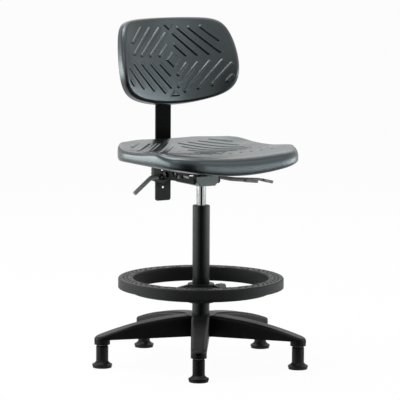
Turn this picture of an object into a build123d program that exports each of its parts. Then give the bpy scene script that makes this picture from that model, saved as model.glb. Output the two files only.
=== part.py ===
from build123d import *
import math
import os

os.makedirs("parts", exist_ok=True)

# Drafting chair. Millimetres, +Z up, origin on the floor under the column axis.
# The sitter faces -Y, so the sitter's right hand is on the -X side.

# Clearances
press_gap = 0.03        # pieces driven together and staying put
running_gap = 0.08      # round pieces that turn or slide in each other
slide_gap = 0.3         # flat pieces that pass each other
bearing_gap = 0.05      # rolling contact left just open

# Five-arm base
arm_count = 5
arm_turn = 237.5        # first arm, degrees from +X
foot_radius = 293.4     # glide centres from the column axis
hub_top = 142.0
hub_bottom = 80.0
hub_radius = 45.0
tip_top = 87.0
arm_root_width = 54.0
arm_bottom = 81.0
arm_wall = 4.5
arm_edge_round = 7.5
arm_rib_pitch = 44.0
arm_rib_wall = 3.0
arm_rib_count = 4
socket_radius = 22.5
socket_bottom = 67.0
cut_over = 1.0          # how far a cut runs past the face it opens
stem_radius = 5.5
stem_depth = 24.0
notch_lift = 8.5        # slot in the end of each arm, over the socket's rim
notch_width = 12.0
notch_height = 8.5
notch_depth = 5.0

# Bell glides
sole_thickness = 5.0
sole_radius = 27.0
sole_spigot = 2.5
glide_radius = 28.5
glide_rim = 5.0
glide_cone = 9.0
glide_post_radius = 17.5
glide_collar_height = 3.0
glide_collar_radius = 12.5
glide_chamfer = 2.5

# Column
tube_radius = 25.0
tube_wall = 1.8
tube_top = 455.0
tube_bottom = 75.0
tube_floor = 4.0
tube_taper = 1.4        # radius lost down the tapered foot of the tube
bush_length = 155.0
bush_lip = 2.0
cylinder_radius = 14.0
cylinder_wall = 1.6
cylinder_bottom = 160.0
cylinder_plug = 25.0
cylinder_top = 538.0
cylinder_head = 14.0
cylinder_taper = 0.6
rod_radius = 5.0
rod_stub_radius = 4.2
rod_top = 430.0
rod_end = 67.5
piston_height = 15.0
clip_thickness = 2.5
clip_radius = 9.0
clip_groove = 1.0
clip_mouth = 5.4
washer_thickness = 1.5
washer_radius = 11.0
ball_radius = 2.0
ball_circle = 8.0
ball_count = 8
cage_height = 2.0
pin_radius = 3.0
pin_length = 17.0
pin_proud = 5.0

# Foot ring
ring_outer = 238.0
ring_inner = 195.0
ring_top = 248.0
ring_outer_bottom = 220.5
ring_inner_bottom = 207.0
ring_wall = 4.5
ring_edge_round = 4.0
ring_hub_radius = 38.0
ring_hub_bottom = 176.0
ring_hub_top = 230.0
spoke_count = 4
spoke_turn = -31.5
spoke_width = 22.0
spoke_height = 8.0
gusset_reach = 36.0
clamp_turn = 13.5       # clamp knob, degrees from +X
clamp_height = 204.0
clamp_boss_radius = 12.0
clamp_boss_reach = 48.0
clamp_nut_radius = 7.5
clamp_nut_length = 14.0
clamp_stud_radius = 4.0
clamp_knob_radius = 17.0
clamp_knob_length = 24.0
clamp_knob_start = 68.0
knob_lobes = 6
knob_lobe_depth = 2.6

# Tilt mechanism
housing_half = 36.0
housing_front = -35.0
housing_rear = 95.0
housing_bottom = 515.0
housing_top = 543.0
housing_wall = 3.0
housing_corner = 11.0
cone_radius = 18.0
cone_top = 535.0
plate_top = 556.0
plate_thickness = 3.0
plate_half_width = 76.0
plate_front = -62.0
plate_rear = 140.0
plate_corner = 14.0
flange_gap = 2.0
flange_bottom = 521.0
flange_front = -33.0
flange_slot_width = 16.4
flange_slot_depth = 40.0
flange_border = 7.0
window_width = 24.0
window_places = [(84.0, 1), (64.0, -1)]     # middle of each triangle, and which way it points
rail_slot_y = 22.0
rail_slot_length = 40.0
rail_slot_width = 8.0
seat_bolt_x = 62.0
seat_bolt_front = -46.0
seat_bolt_rear = 112.0
tilt_pin_y = -24.0
tilt_pin_z = 529.0
tilt_pin_radius = 4.0
tilt_head_radius = 7.2
back_pin_y = 124.0
back_pin_z = 533.0
back_pin_radius = 5.0
pivot_eye = 13.0
pivot_cap_radius = 9.0
pivot_cap_length = 8.0
lever_pin_x = 27.5
lever_pin_z = 538.0
lever_pin_radius = 2.5
lever_eye_radius = 6.0
lever_eye_width = 8.4
lever_rod_radius = 4.0
lever_nose_thickness = 4.0
lever_nose_reach = 6.0
lever_slot_width = 14.4
height_lever_y = 0.0
tilt_lever_y = 40.0
carrier_half = 4.5
carrier_side = 10.0
carrier_crown = 2.0
paddle_thickness = 9.0
paddle_width = 22.0
lever_bend = 16.0
# bends of each lever rod, from its pivot
height_bends = [(30.5, 0.0, -5.0), (64.5, -16.0, -12.0), (134.5, -25.0, -19.0)]
tilt_bends = [(32.5, 0.0, -6.0), (92.5, -28.0, -13.0), (166.5, -44.0, -18.0), (200.5, -46.0, -26.0)]
height_paddle_start = 40.0      # along the last run
height_paddle_length = 42.0
tilt_paddle_start = 10.0
tilt_paddle_length = 34.0

# Back bracket, its lever and the upright
bracket_wall = 4.0
bracket_rear = 204.0
bracket_bottom = 505.0
bracket_top = 548.0
back_lever_y = 150.0
back_lever_x = -48.0
back_lever_z = 525.0
back_lug_wall = 4.0
back_lug_half = 8.0
back_bends = [(-29.5, 0.0, 0.5), (-84.0, 0.0, -42.0)]
grip_radius = 6.5
grip_gap = 3.0          # from the lever's eye to its grip
grip_overhang = 4.0
guide_half = 33.0
guide_rear_wall = 9.0
guide_top = 551.0
guide_bolt_x = 18.0
guide_bolt_z = 540.0
back_knob_z = 528.0
back_knob_radius = 20.0
back_knob_length = 22.0
back_knob_gap = 3.0
back_stud_radius = 4.0
upright_width = 50.0
upright_thickness = 6.0
upright_y = 216.0
upright_bottom = 446.0
upright_bend_z = 762.0
upright_bend_radius = 120.0
upright_tip = 140.0     # length above the bend
upright_corner = 7.0
upright_hole_z = 485.0
upright_hole_radius = 4.3

# Backrest: a saddle-shaped slab, hollow across and swelling up and down
back_tilt = 12.4
back_centre = 86.5      # up the tilted bar from its bend
back_reach = 73.0       # front of the bar to the front of the pad
back_hollow = 345.0     # radius across the front
back_swell = 600.0      # radius up the front
back_rear_radius = 292.0
back_thickness = 52.0
back_top = 126.0
back_top_corner_x = 171.0
back_top_corner = 113.0
back_top_round = 42.0
back_waist = 190.0
back_waist_h = 35.0
back_low_corner_x = 196.0
back_low_corner = -100.0
back_low_round = 56.0
back_bottom = -127.0
back_front_round = 7.0
back_rear_round = 10.0
back_boss_half = 38.0
back_boss_low = -84.0
back_boss_high = 42.0
back_boss_round = 14.0
back_boss_draft = 12.0
back_board_half = 95.0
back_board_low = -76.0
back_board_high = 40.0
back_board_thickness = 10.0
back_board_depth = 42.0     # front of the bar to the rear of the board
back_bolt_pitch = 38.0
back_bolt_count = 3

# Seat pad
seat_half = 230.0
seat_front = -232.0
seat_rear = 200.0
seat_front_corner = 105.0
seat_rear_corner = 162.0
seat_front_bow = 5.0
seat_flat_half = 75.0
seat_edge_rise = 45.0
seat_top_round = 10.0
seat_under_round = 12.0
seat_board_half = 130.0
seat_board_front = -120.0
seat_board_rear = 140.0
seat_board_thickness = 12.0
seat_board_lift = 17.0
seat_spare = 8.0
# from front to rear: height of the seat's top over the plate, the rise to its sides,
# and how far its underside stands off the plate's plane
seat_stations = [
    (-240.0, 45.0, 24.0, 12.0),
    (-205.0, 57.0, 16.0, 7.0),
    (-130.0, 62.0, 16.0, 0.0),
    (-10.0, 49.0, 18.0, 0.0),
    (100.0, 50.5, 21.0, 0.0),
    (176.0, 71.0, 10.0, 12.0),
    (235.0, 86.0, 4.0, 34.0),
]

# Raised bars on the seat and back, laid as diamonds inside each other
bar_width = 12.0
bar_height = 2.4
bar_first = 56.0        # reach of the smallest diamond on the axes
bar_pitch = 34.5
bar_rings = 6
bar_shortest = 8.0      # bars that would reach less far across are left out
bar_axis_gap = 13.0     # clear strip along both axes, to the bar's middle
diamond_half = 25.0
triangle_half = 18.0
triangle_base = 106.0
triangle_height = 20.0
back_bar_side_high = 143.0
back_bar_side_low = 169.0
back_bar_high = 93.0
back_bar_low = 97.0
back_bar_chin = 0.16    # how fast the lower ends climb to the sides
seat_bar_side = 170.0
seat_bar_front = 150.0
seat_bar_rear = 108.0
seat_bar_middle = -10.0

# Fasteners
bolt_radius = 3.0
bolt_head_radius = 6.0
bolt_head = 4.0
insert_radius = 5.0
back_bolt_radius = 4.0
back_bolt_head_radius = 7.0
back_bolt_head = 5.0
back_washer_radius = 9.0


def arc_drop(radius, reach):
    """How far an arc of this radius falls at a distance from its crown."""
    return radius - math.sqrt(radius ** 2 - reach ** 2)


def diamond_bars(high_side, low_side, high_limit, low_limit, low_climb=0.0):
    """End points of the diagonal bars, trimmed to the strip they fill."""
    bars = []
    halves = [(1, high_side, high_limit, 0.0), (-1, low_side, low_limit, low_climb)]
    for ring in range(bar_rings):
        reach = bar_first + ring * bar_pitch
        for up, side_limit, limit, climb in halves:
            near = max(bar_axis_gap, (reach - limit) / (1 - climb))
            far = min(reach - bar_axis_gap, side_limit)
            if far - near > bar_shortest:
                for side in (1, -1):
                    start = Vector(side * near, up * (reach - near))
                    end = Vector(side * far, up * (reach - far))
                    bars.append((start, end))
    return bars


# Base star: one hollow arm, repeated round a hub with a tapered socket
tip_radius = foot_radius + socket_radius
arm_fall = hub_top - tip_top
arm_arc_radius = (arm_fall ** 2 + tip_radius ** 2) / (2 * arm_fall)
pocket_start = hub_radius + arm_wall
pocket_end = foot_radius - socket_radius - arm_wall
socket_top = hub_top - arc_drop(arm_arc_radius, foot_radius) - arm_wall
stem_top = socket_bottom + stem_depth
tube_foot_radius = tube_radius - tube_taper
hub_socket_low = min(hub_bottom, tube_bottom) - cut_over

pocket_arc_radius = arm_arc_radius - arm_wall
pocket_crown = hub_top - arm_wall

with BuildPart() as arm_pocket:
    with BuildSketch(Plane.XZ):
        with BuildLine():
            pocket_start_z = pocket_crown - arc_drop(pocket_arc_radius, pocket_start)
            pocket_middle = (pocket_start + pocket_end) / 2
            pocket_middle_z = pocket_crown - arc_drop(pocket_arc_radius, pocket_middle)
            pocket_end_z = pocket_crown - arc_drop(pocket_arc_radius, pocket_end)
            ThreePointArc(
                (pocket_start, pocket_start_z),
                (pocket_middle, pocket_middle_z),
                (pocket_end, pocket_end_z),
            )
            Polyline(
                (pocket_end, pocket_end_z),
                (pocket_end, socket_bottom),
                (pocket_start, socket_bottom),
                (pocket_start, pocket_start_z),
            )
        make_face()
    extrude(amount=arm_root_width, both=True)
    with BuildSketch(Plane.XY.offset(socket_bottom)):
        inner_root = arm_root_width / 2 - arm_wall
        inner_tip = socket_radius - arm_wall
        Polygon(
            (0, -inner_root),
            (foot_radius, -inner_tip),
            (foot_radius, inner_tip),
            (0, inner_root),
            align=None,
        )
    extrude(amount=hub_top, mode=Mode.INTERSECT)
    with BuildSketch(Plane.XY.offset(socket_bottom)):
        for rib in range(1, arm_rib_count + 1):
            with Locations((pocket_start + rib * arm_rib_pitch, 0)):
                Rectangle(arm_rib_wall, arm_root_width)
    extrude(amount=hub_top, mode=Mode.SUBTRACT)

with BuildPart() as arm:
    with BuildSketch(Plane.XZ):
        with BuildLine():
            crown_mid = (tip_radius / 2, hub_top - arc_drop(arm_arc_radius, tip_radius / 2))
            ThreePointArc((0, hub_top), crown_mid, (tip_radius, tip_top))
            Polyline(
                (tip_radius, tip_top),
                (tip_radius, socket_bottom),
                (foot_radius, socket_bottom),
                (foot_radius, arm_bottom),
                (0, arm_bottom),
                (0, hub_top),
            )
        make_face()
    extrude(amount=arm_root_width, both=True)
    with BuildSketch():
        with BuildLine():
            Polyline(
                (0, -arm_root_width / 2),
                (foot_radius, -socket_radius),
            )
            ThreePointArc((foot_radius, -socket_radius), (tip_radius, 0), (foot_radius, socket_radius))
            Polyline(
                (foot_radius, socket_radius),
                (0, arm_root_width / 2),
                (0, -arm_root_width / 2),
            )
        make_face()
    extrude(amount=hub_top + arm_wall, mode=Mode.INTERSECT)
    fillet(arm.faces().sort_by(Axis.Z)[-1].edges().filter_by(lambda e: e.center().X > 1), arm_edge_round)
    add(arm_pocket.part, mode=Mode.SUBTRACT)
    with BuildSketch(Plane.XY.offset(socket_bottom)):
        with Locations((foot_radius, 0)):
            Circle(socket_radius)
            Rectangle(tip_radius, 2 * socket_radius, align=(Align.MIN, Align.CENTER), mode=Mode.SUBTRACT)
    extrude(amount=socket_top - socket_bottom)
    with BuildSketch(Plane.XY.offset(socket_bottom + notch_lift)):
        with Locations((tip_radius, 0)):
            Rectangle(2 * notch_depth, notch_width)
    extrude(amount=notch_height, mode=Mode.SUBTRACT)
    with BuildSketch(Plane.XY.offset(socket_bottom)):
        with Locations((foot_radius, 0)):
            Circle(stem_radius + press_gap)
    extrude(amount=stem_depth, mode=Mode.SUBTRACT)

with BuildPart() as base_star:
    with BuildSketch(Plane.XY.offset(hub_bottom)):
        Circle(hub_radius)
    extrude(amount=hub_top - hub_bottom)
    with PolarLocations(0, arm_count, start_angle=arm_turn):
        add(arm.part)
    with BuildSketch(Plane.XZ):
        Polygon(
            (0, hub_socket_low),
            (tube_foot_radius + press_gap, hub_socket_low),
            (tube_foot_radius + press_gap, tube_bottom),
            (tube_radius + press_gap, hub_top),
            (tube_radius + press_gap, hub_top + cut_over),
            (0, hub_top + cut_over),
            align=None,
        )
    revolve(axis=Axis.Z, mode=Mode.SUBTRACT)
base_star.part.label = "base_star"
export_step(base_star.part, "parts/base_star.step")

# Bell glides: soft sole, nylon bell and steel stem under each arm
collar_bottom = socket_bottom - glide_collar_height
cone_base = sole_thickness + glide_rim
cone_peak = cone_base + glide_cone

for number in range(1, arm_count + 1):
    turn = math.radians(arm_turn + (number - 1) * 360 / arm_count)
    foot = Plane((foot_radius * math.cos(turn), foot_radius * math.sin(turn), 0))

    with BuildPart() as glide_sole:
        with BuildSketch(foot):
            Circle(sole_radius)
        extrude(amount=sole_thickness)
        with BuildSketch(foot.offset(sole_thickness)):
            Circle(glide_post_radius)
        extrude(amount=sole_spigot)
    glide_sole.part.label = f"glide_sole_{number}"
    export_step(glide_sole.part, f"parts/glide_sole_{number}.step")

    upright_plane = Plane(foot.origin, x_dir=(1, 0, 0), z_dir=(0, -1, 0))
    with BuildPart() as glide_body:
        with BuildSketch(upright_plane):
            with BuildLine():
                Polyline(
                    (stem_radius + press_gap, sole_thickness + sole_spigot),
                    (glide_post_radius + press_gap, sole_thickness + sole_spigot),
                    (glide_post_radius + press_gap, sole_thickness),
                    (glide_radius, sole_thickness),
                    (glide_radius, cone_base),
                )
                TangentArc(
                    (glide_radius, cone_base),
                    (glide_post_radius, cone_peak),
                    tangent=(-1, 0.35),
                )
                Polyline(
                    (glide_post_radius, cone_peak),
                    (glide_post_radius, collar_bottom - glide_chamfer),
                    (glide_post_radius - glide_chamfer, collar_bottom),
                    (stem_radius + press_gap, collar_bottom),
                    (stem_radius + press_gap, sole_thickness + sole_spigot),
                )
            make_face()
        revolve(axis=Axis(foot.origin, (0, 0, 1)))
    glide_body.part.label = f"glide_body_{number}"
    export_step(glide_body.part, f"parts/glide_body_{number}.step")

    with BuildPart() as glide_stem:
        with BuildSketch(foot.offset(sole_thickness + sole_spigot)):
            Circle(stem_radius)
        extrude(amount=stem_top - bearing_gap - sole_thickness - sole_spigot)
        with BuildSketch(foot.offset(collar_bottom)):
            Circle(glide_collar_radius)
        extrude(amount=glide_collar_height)
    glide_stem.part.label = f"glide_stem_{number}"
    export_step(glide_stem.part, f"parts/glide_stem_{number}.step")

# Column tube: tapered foot wedged in the hub, floor plate for the thrust bearing
tube_bore = tube_radius - tube_wall
stub_hole = rod_stub_radius + running_gap
floor_top = tube_bottom + tube_floor

with BuildPart() as column_tube:
    with BuildSketch(Plane.XZ):
        Polygon(
            (stub_hole, tube_bottom),
            (tube_foot_radius, tube_bottom),
            (tube_radius, hub_top),
            (tube_radius, tube_top),
            (tube_bore, tube_top),
            (tube_bore, hub_top),
            (tube_foot_radius - tube_wall, floor_top),
            (stub_hole, floor_top),
            align=None,
        )
    revolve(axis=Axis.Z)
column_tube.part.label = "column_tube"
export_step(column_tube.part, "parts/column_tube.step")

with BuildPart() as column_bush:
    with BuildSketch(Plane.XY.offset(tube_top - bush_length)):
        Circle(tube_bore - press_gap)
    extrude(amount=bush_length)
    with BuildSketch(Plane.XY.offset(tube_top)):
        Circle(tube_radius - tube_wall / 2)
    extrude(amount=bush_lip)
    chamfer(column_bush.faces().sort_by(Axis.Z)[-1].edges(), bush_lip / 2)
    with BuildSketch(Plane.XY.offset(tube_top - bush_length)):
        Circle(cylinder_radius + running_gap)
    extrude(amount=bush_length + bush_lip, mode=Mode.SUBTRACT)
column_bush.part.label = "column_bush"
export_step(column_bush.part, "parts/column_bush.step")

# Thrust bearing that the seat swivels on
lower_washer_top = floor_top + washer_thickness
ball_top = lower_washer_top + 2 * ball_radius
upper_washer_bottom = ball_top + bearing_gap
shoulder = upper_washer_bottom + washer_thickness

for name, height in (("bearing_lower_washer", floor_top), ("bearing_upper_washer", upper_washer_bottom)):
    with BuildPart() as washer:
        with BuildSketch(Plane.XY.offset(height)):
            Circle(washer_radius)
            Circle(stub_hole, mode=Mode.SUBTRACT)
        extrude(amount=washer_thickness)
    washer.part.label = name
    export_step(washer.part, f"parts/{name}.step")

ball_middle = lower_washer_top + ball_radius
with BuildPart() as bearing_cage:
    with BuildSketch(Plane.XY.offset(ball_middle - cage_height / 2)):
        Circle(washer_radius)
        Circle(stub_hole, mode=Mode.SUBTRACT)
        with PolarLocations(ball_circle, ball_count):
            Circle(ball_radius + bearing_gap, mode=Mode.SUBTRACT)
    extrude(amount=cage_height)
bearing_cage.part.label = "bearing_cage"
export_step(bearing_cage.part, "parts/bearing_cage.step")

with BuildPart() as bearing_balls:
    for ball in range(ball_count):
        spin = math.radians(ball * 360 / ball_count)
        with Locations((ball_circle * math.cos(spin), ball_circle * math.sin(spin), ball_middle)):
            Sphere(ball_radius)
bearing_balls.part.label = "bearing_balls"
export_step(bearing_balls.part, "parts/bearing_balls.step")

# Piston rod, its clip under the tube floor, and the gas cylinder that climbs it
clip_top = tube_bottom - running_gap
chamber_radius = cylinder_radius - cylinder_wall
chamber_bottom = cylinder_bottom + cylinder_plug
chamber_top = cylinder_top - cylinder_head

with BuildPart() as piston_rod:
    with BuildSketch(Plane.XZ):
        Polygon(
            (0, rod_end),
            (rod_stub_radius, rod_end),
            (rod_stub_radius, clip_top - clip_thickness),
            (rod_stub_radius - clip_groove, clip_top - clip_thickness),
            (rod_stub_radius - clip_groove, clip_top),
            (rod_stub_radius, clip_top),
            (rod_stub_radius, shoulder),
            (rod_radius, shoulder),
            (rod_radius, rod_top - piston_height),
            (chamber_radius - running_gap, rod_top - piston_height),
            (chamber_radius - running_gap, rod_top),
            (0, rod_top),
            align=None,
        )
    revolve(axis=Axis.Z)
piston_rod.part.label = "piston_rod"
export_step(piston_rod.part, "parts/piston_rod.step")

with BuildPart() as rod_clip:
    with BuildSketch(Plane.XY.offset(clip_top - clip_thickness)):
        Circle(clip_radius)
        Circle(rod_stub_radius - clip_groove + press_gap, mode=Mode.SUBTRACT)
        with Locations((clip_radius / 2, 0)):
            Rectangle(clip_radius, clip_mouth, mode=Mode.SUBTRACT)
    extrude(amount=clip_thickness)
rod_clip.part.label = "rod_clip"
export_step(rod_clip.part, "parts/rod_clip.step")

cylinder_nose = cylinder_radius - cylinder_taper
with BuildPart() as gas_cylinder:
    with BuildSketch(Plane.XZ):
        Polygon(
            (rod_radius + running_gap, cylinder_bottom),
            (cylinder_radius, cylinder_bottom),
            (cylinder_radius, housing_bottom),
            (cylinder_nose, cylinder_top),
            (pin_radius + running_gap, cylinder_top),
            (pin_radius + running_gap, chamber_top),
            (chamber_radius, chamber_top),
            (chamber_radius, chamber_bottom),
            (rod_radius + running_gap, chamber_bottom),
            align=None,
        )
    revolve(axis=Axis.Z)
gas_cylinder.part.label = "gas_cylinder"
export_step(gas_cylinder.part, "parts/gas_cylinder.step")

pin_top = cylinder_top + pin_proud
with BuildPart() as release_pin:
    with BuildSketch(Plane.XY.offset(pin_top - pin_length)):
        Circle(pin_radius)
    extrude(amount=pin_length)
    chamfer(release_pin.faces().sort_by(Axis.Z)[-1].edges(), pin_radius / 4)
release_pin.part.label = "release_pin"
export_step(release_pin.part, "parts/release_pin.step")

# Foot ring: moulded channel ring, gusseted spokes and a clamp hub on the column
spoke_top = ring_inner_bottom + spoke_height
clamp_dir = Vector(math.cos(math.radians(clamp_turn)), math.sin(math.radians(clamp_turn)), 0)
clamp_plane = Plane((0, 0, clamp_height), x_dir=(0, 0, 1), z_dir=clamp_dir)

with BuildPart() as foot_ring:
    with BuildSketch(Plane.XZ) as channel:
        with BuildLine():
            Polyline(
                (ring_outer, ring_outer_bottom),
                (ring_outer, ring_top),
                (ring_inner, ring_top),
                (ring_inner, ring_inner_bottom),
                (ring_inner + ring_wall, ring_inner_bottom),
                (ring_inner + ring_wall, ring_top - ring_wall),
                (ring_outer - ring_wall, ring_top - ring_wall),
                (ring_outer - ring_wall, ring_outer_bottom),
                close=True,
            )
        make_face()
        fillet(channel.vertices().group_by(Axis.Y)[-1], ring_edge_round)
    revolve(axis=Axis.Z)
    with BuildSketch(Plane.XY.offset(ring_hub_bottom)):
        Circle(ring_hub_radius)
    extrude(amount=ring_hub_top - ring_hub_bottom)
    for spoke in range(spoke_count):
        spoke_angle = math.radians(spoke_turn + spoke * 360 / spoke_count)
        across = (math.sin(spoke_angle), -math.cos(spoke_angle), 0)
        along = (math.cos(spoke_angle), math.sin(spoke_angle), 0)
        with BuildSketch(Plane((0, 0, 0), x_dir=along, z_dir=across)):
            Polygon(
                (tube_radius + ring_wall, ring_hub_bottom + ring_wall),
                (ring_hub_radius, ring_hub_bottom + ring_wall),
                (ring_inner + ring_wall / 2, ring_inner_bottom),
                (ring_inner + ring_wall / 2, spoke_top),
                (ring_hub_radius + gusset_reach, spoke_top),
                (ring_hub_radius, ring_hub_top - ring_wall),
                (tube_radius + ring_wall, ring_hub_top - ring_wall),
                align=None,
            )
        extrude(amount=spoke_width / 2, both=True)
    with BuildSketch(clamp_plane):
        Circle(clamp_boss_radius)
    extrude(amount=clamp_boss_reach)
    with BuildSketch(Plane.XY.offset(ring_hub_bottom)):
        Circle(tube_radius + running_gap)
    extrude(amount=ring_hub_top - ring_hub_bottom, mode=Mode.SUBTRACT)
    with BuildSketch(clamp_plane):
        Circle(clamp_stud_radius + running_gap)
    extrude(amount=clamp_boss_reach, mode=Mode.SUBTRACT)
    with BuildSketch(clamp_plane.offset(clamp_boss_reach - clamp_nut_length)):
        Circle(clamp_nut_radius + press_gap)
    extrude(amount=clamp_nut_length, mode=Mode.SUBTRACT)
foot_ring.part.label = "foot_ring"
export_step(foot_ring.part, "parts/foot_ring.step")

with BuildPart() as ring_nut:
    with BuildSketch(clamp_plane.offset(clamp_boss_reach - clamp_nut_length)):
        Circle(clamp_nut_radius)
        Circle(clamp_stud_radius + running_gap, mode=Mode.SUBTRACT)
    extrude(amount=clamp_nut_length)
ring_nut.part.label = "ring_nut"
export_step(ring_nut.part, "parts/ring_nut.step")


def lobed_knob(plane, radius, start, length):
    """Hand knob with shallow finger hollows, standing along the plane's normal."""
    with BuildPart() as knob:
        with BuildSketch(plane.offset(start)):
            Circle(radius)
            with PolarLocations(radius + knob_lobe_depth, knob_lobes):
                Circle(2 * knob_lobe_depth, mode=Mode.SUBTRACT)
        extrude(amount=length)
        axis = Axis(plane.origin, plane.z_dir)
        chamfer(knob.faces().sort_by(axis)[-1].edges(), knob_lobe_depth / 2)
    return knob.part


with BuildPart() as ring_knob:
    add(lobed_knob(clamp_plane, clamp_knob_radius, clamp_knob_start, clamp_knob_length))
    with BuildSketch(clamp_plane.offset(tube_radius + slide_gap)):
        Circle(clamp_stud_radius)
    extrude(amount=clamp_knob_start - tube_radius - slide_gap)
ring_knob.part.label = "ring_knob"
export_step(ring_knob.part, "parts/ring_knob.step")

# Mechanism housing: folded steel channel with the column cone in its floor
lever_places = (height_lever_y, tilt_lever_y)
lever_slot_low = lever_pin_z - 2 * lever_rod_radius

inner_half = housing_half - housing_wall
inner_corner = housing_corner - housing_wall * (2 - math.sqrt(2))

with BuildPart() as mechanism_housing:
    with BuildSketch(Plane.XZ.offset(-housing_front)):
        with BuildLine():
            Polyline(
                (-housing_half, housing_top),
                (-housing_half, housing_bottom + housing_corner),
                (-housing_half + housing_corner, housing_bottom),
                (housing_half - housing_corner, housing_bottom),
                (housing_half, housing_bottom + housing_corner),
                (housing_half, housing_top),
                close=True,
            )
        make_face()
    extrude(amount=-(housing_rear - housing_front))
    with BuildSketch(Plane.XZ.offset(-housing_front - housing_wall)):
        with BuildLine():
            Polyline(
                (-inner_half, housing_top),
                (-inner_half, housing_bottom + housing_wall + inner_corner),
                (-inner_half + inner_corner, housing_bottom + housing_wall),
                (inner_half - inner_corner, housing_bottom + housing_wall),
                (inner_half, housing_bottom + housing_wall + inner_corner),
                (inner_half, housing_top),
                close=True,
            )
        make_face()
    extrude(amount=-(housing_rear - housing_front), mode=Mode.SUBTRACT)
    with BuildSketch(Plane.XY.offset(housing_bottom)):
        Circle(cone_radius + press_gap)
    extrude(amount=housing_wall, mode=Mode.SUBTRACT)
    with BuildSketch(Plane.YZ.offset(-housing_half)):
        with Locations((tilt_pin_y, tilt_pin_z)):
            Circle(tilt_pin_radius + press_gap)
    extrude(amount=2 * housing_half, mode=Mode.SUBTRACT)
    with BuildSketch(Plane.YZ.offset(housing_half - housing_wall)):
        for slot_y in lever_places:
            with Locations((slot_y, housing_top)):
                Rectangle(lever_slot_width, 2 * (housing_top - lever_slot_low))
    extrude(amount=housing_wall, mode=Mode.SUBTRACT)
mechanism_housing.part.label = "mechanism_housing"
export_step(mechanism_housing.part, "parts/mechanism_housing.step")

cone_slope = cylinder_taper / (cylinder_top - housing_bottom)
cone_nose = cylinder_radius - cone_slope * (cone_top - housing_bottom)
with BuildPart() as column_cone:
    with BuildSketch(Plane.XZ):
        Polygon(
            (cylinder_radius + press_gap, housing_bottom),
            (cone_radius, housing_bottom),
            (cone_radius, cone_top),
            (cone_nose + press_gap, cone_top),
            align=None,
        )
    revolve(axis=Axis.Z)
column_cone.part.label = "column_cone"
export_step(column_cone.part, "parts/column_cone.step")

# Lever carrier on the housing floor, with one pin through both levers
carrier_floor = housing_bottom + housing_wall
carrier_top = lever_pin_z + lever_pin_radius + carrier_crown
slot_floor = lever_pin_z - lever_eye_radius - slide_gap
carrier_start = height_lever_y - lever_eye_width / 2 - carrier_side
carrier_end = tilt_lever_y + lever_eye_width / 2 + carrier_side
carrier_left = lever_pin_x - carrier_half
carrier_room = inner_half - slide_gap

with BuildPart() as lever_carrier:
    with BuildSketch(Plane.XZ.offset(-carrier_start)):
        Polygon(
            (carrier_left, carrier_floor),
            (carrier_room - inner_corner, carrier_floor),
            (carrier_room, carrier_floor + inner_corner),
            (carrier_room, carrier_top),
            (carrier_left, carrier_top),
            align=None,
        )
    extrude(amount=-(carrier_end - carrier_start))
    with BuildSketch(Plane.YZ.offset(carrier_left)):
        for slot_y in lever_places:
            with Locations((slot_y, (slot_floor + carrier_top) / 2)):
                Rectangle(lever_eye_width + 2 * slide_gap, carrier_top - slot_floor)
    extrude(amount=carrier_room - carrier_left, mode=Mode.SUBTRACT)
    with BuildSketch(Plane.XZ.offset(-carrier_start)):
        with Locations((lever_pin_x, lever_pin_z)):
            Circle(lever_pin_radius + press_gap)
    extrude(amount=-(carrier_end - carrier_start), mode=Mode.SUBTRACT)
lever_carrier.part.label = "lever_carrier"
export_step(lever_carrier.part, "parts/lever_carrier.step")

with BuildPart() as lever_pin:
    with BuildSketch(Plane.XZ.offset(-carrier_start)):
        with Locations((lever_pin_x, lever_pin_z)):
            Circle(lever_pin_radius)
    extrude(amount=-(carrier_end - carrier_start))
lever_pin.part.label = "lever_pin"
export_step(lever_pin.part, "parts/lever_pin.step")

# Height lever: its nose presses the release pin when the paddle is lifted
height_pivot = Vector(lever_pin_x, height_lever_y, lever_pin_z)
tilt_pivot = Vector(lever_pin_x, tilt_lever_y, lever_pin_z)
height_route = [height_pivot] + [height_pivot + Vector(*bend) for bend in height_bends]
tilt_route = [tilt_pivot] + [tilt_pivot + Vector(*bend) for bend in tilt_bends]


def lever_rod(name, route, pivot_y, nose):
    """Bent steel lever rod with an eye on the carrier's pin."""
    eye_plane = Plane.XZ.offset(-(pivot_y - lever_eye_width / 2))
    with BuildPart() as rod:
        with BuildLine() as path:
            FilletPolyline(*route, radius=lever_bend)
        with BuildSketch(Plane(path.line @ 0, z_dir=path.line % 0)):
            Circle(lever_rod_radius)
        sweep(path=path.line)
        with BuildSketch(eye_plane):
            with Locations((lever_pin_x, lever_pin_z)):
                Circle(lever_eye_radius)
        extrude(amount=-lever_eye_width)
        if nose:
            nose_bottom = pin_top + slide_gap
            with BuildSketch(eye_plane):
                Polygon(
                    (-lever_nose_reach, nose_bottom),
                    (lever_nose_reach, nose_bottom),
                    (lever_pin_x, lever_pin_z),
                    (lever_pin_x, lever_pin_z + lever_eye_radius),
                    (lever_nose_reach, nose_bottom + lever_nose_thickness),
                    (-lever_nose_reach, nose_bottom + lever_nose_thickness),
                    align=None,
                )
            extrude(amount=-lever_eye_width)
        with BuildSketch(eye_plane):
            with Locations((lever_pin_x, lever_pin_z)):
                Circle(lever_pin_radius + running_gap)
        extrude(amount=-lever_eye_width, mode=Mode.SUBTRACT)
    rod.part.label = name
    export_step(rod.part, f"parts/{name}.step")


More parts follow.
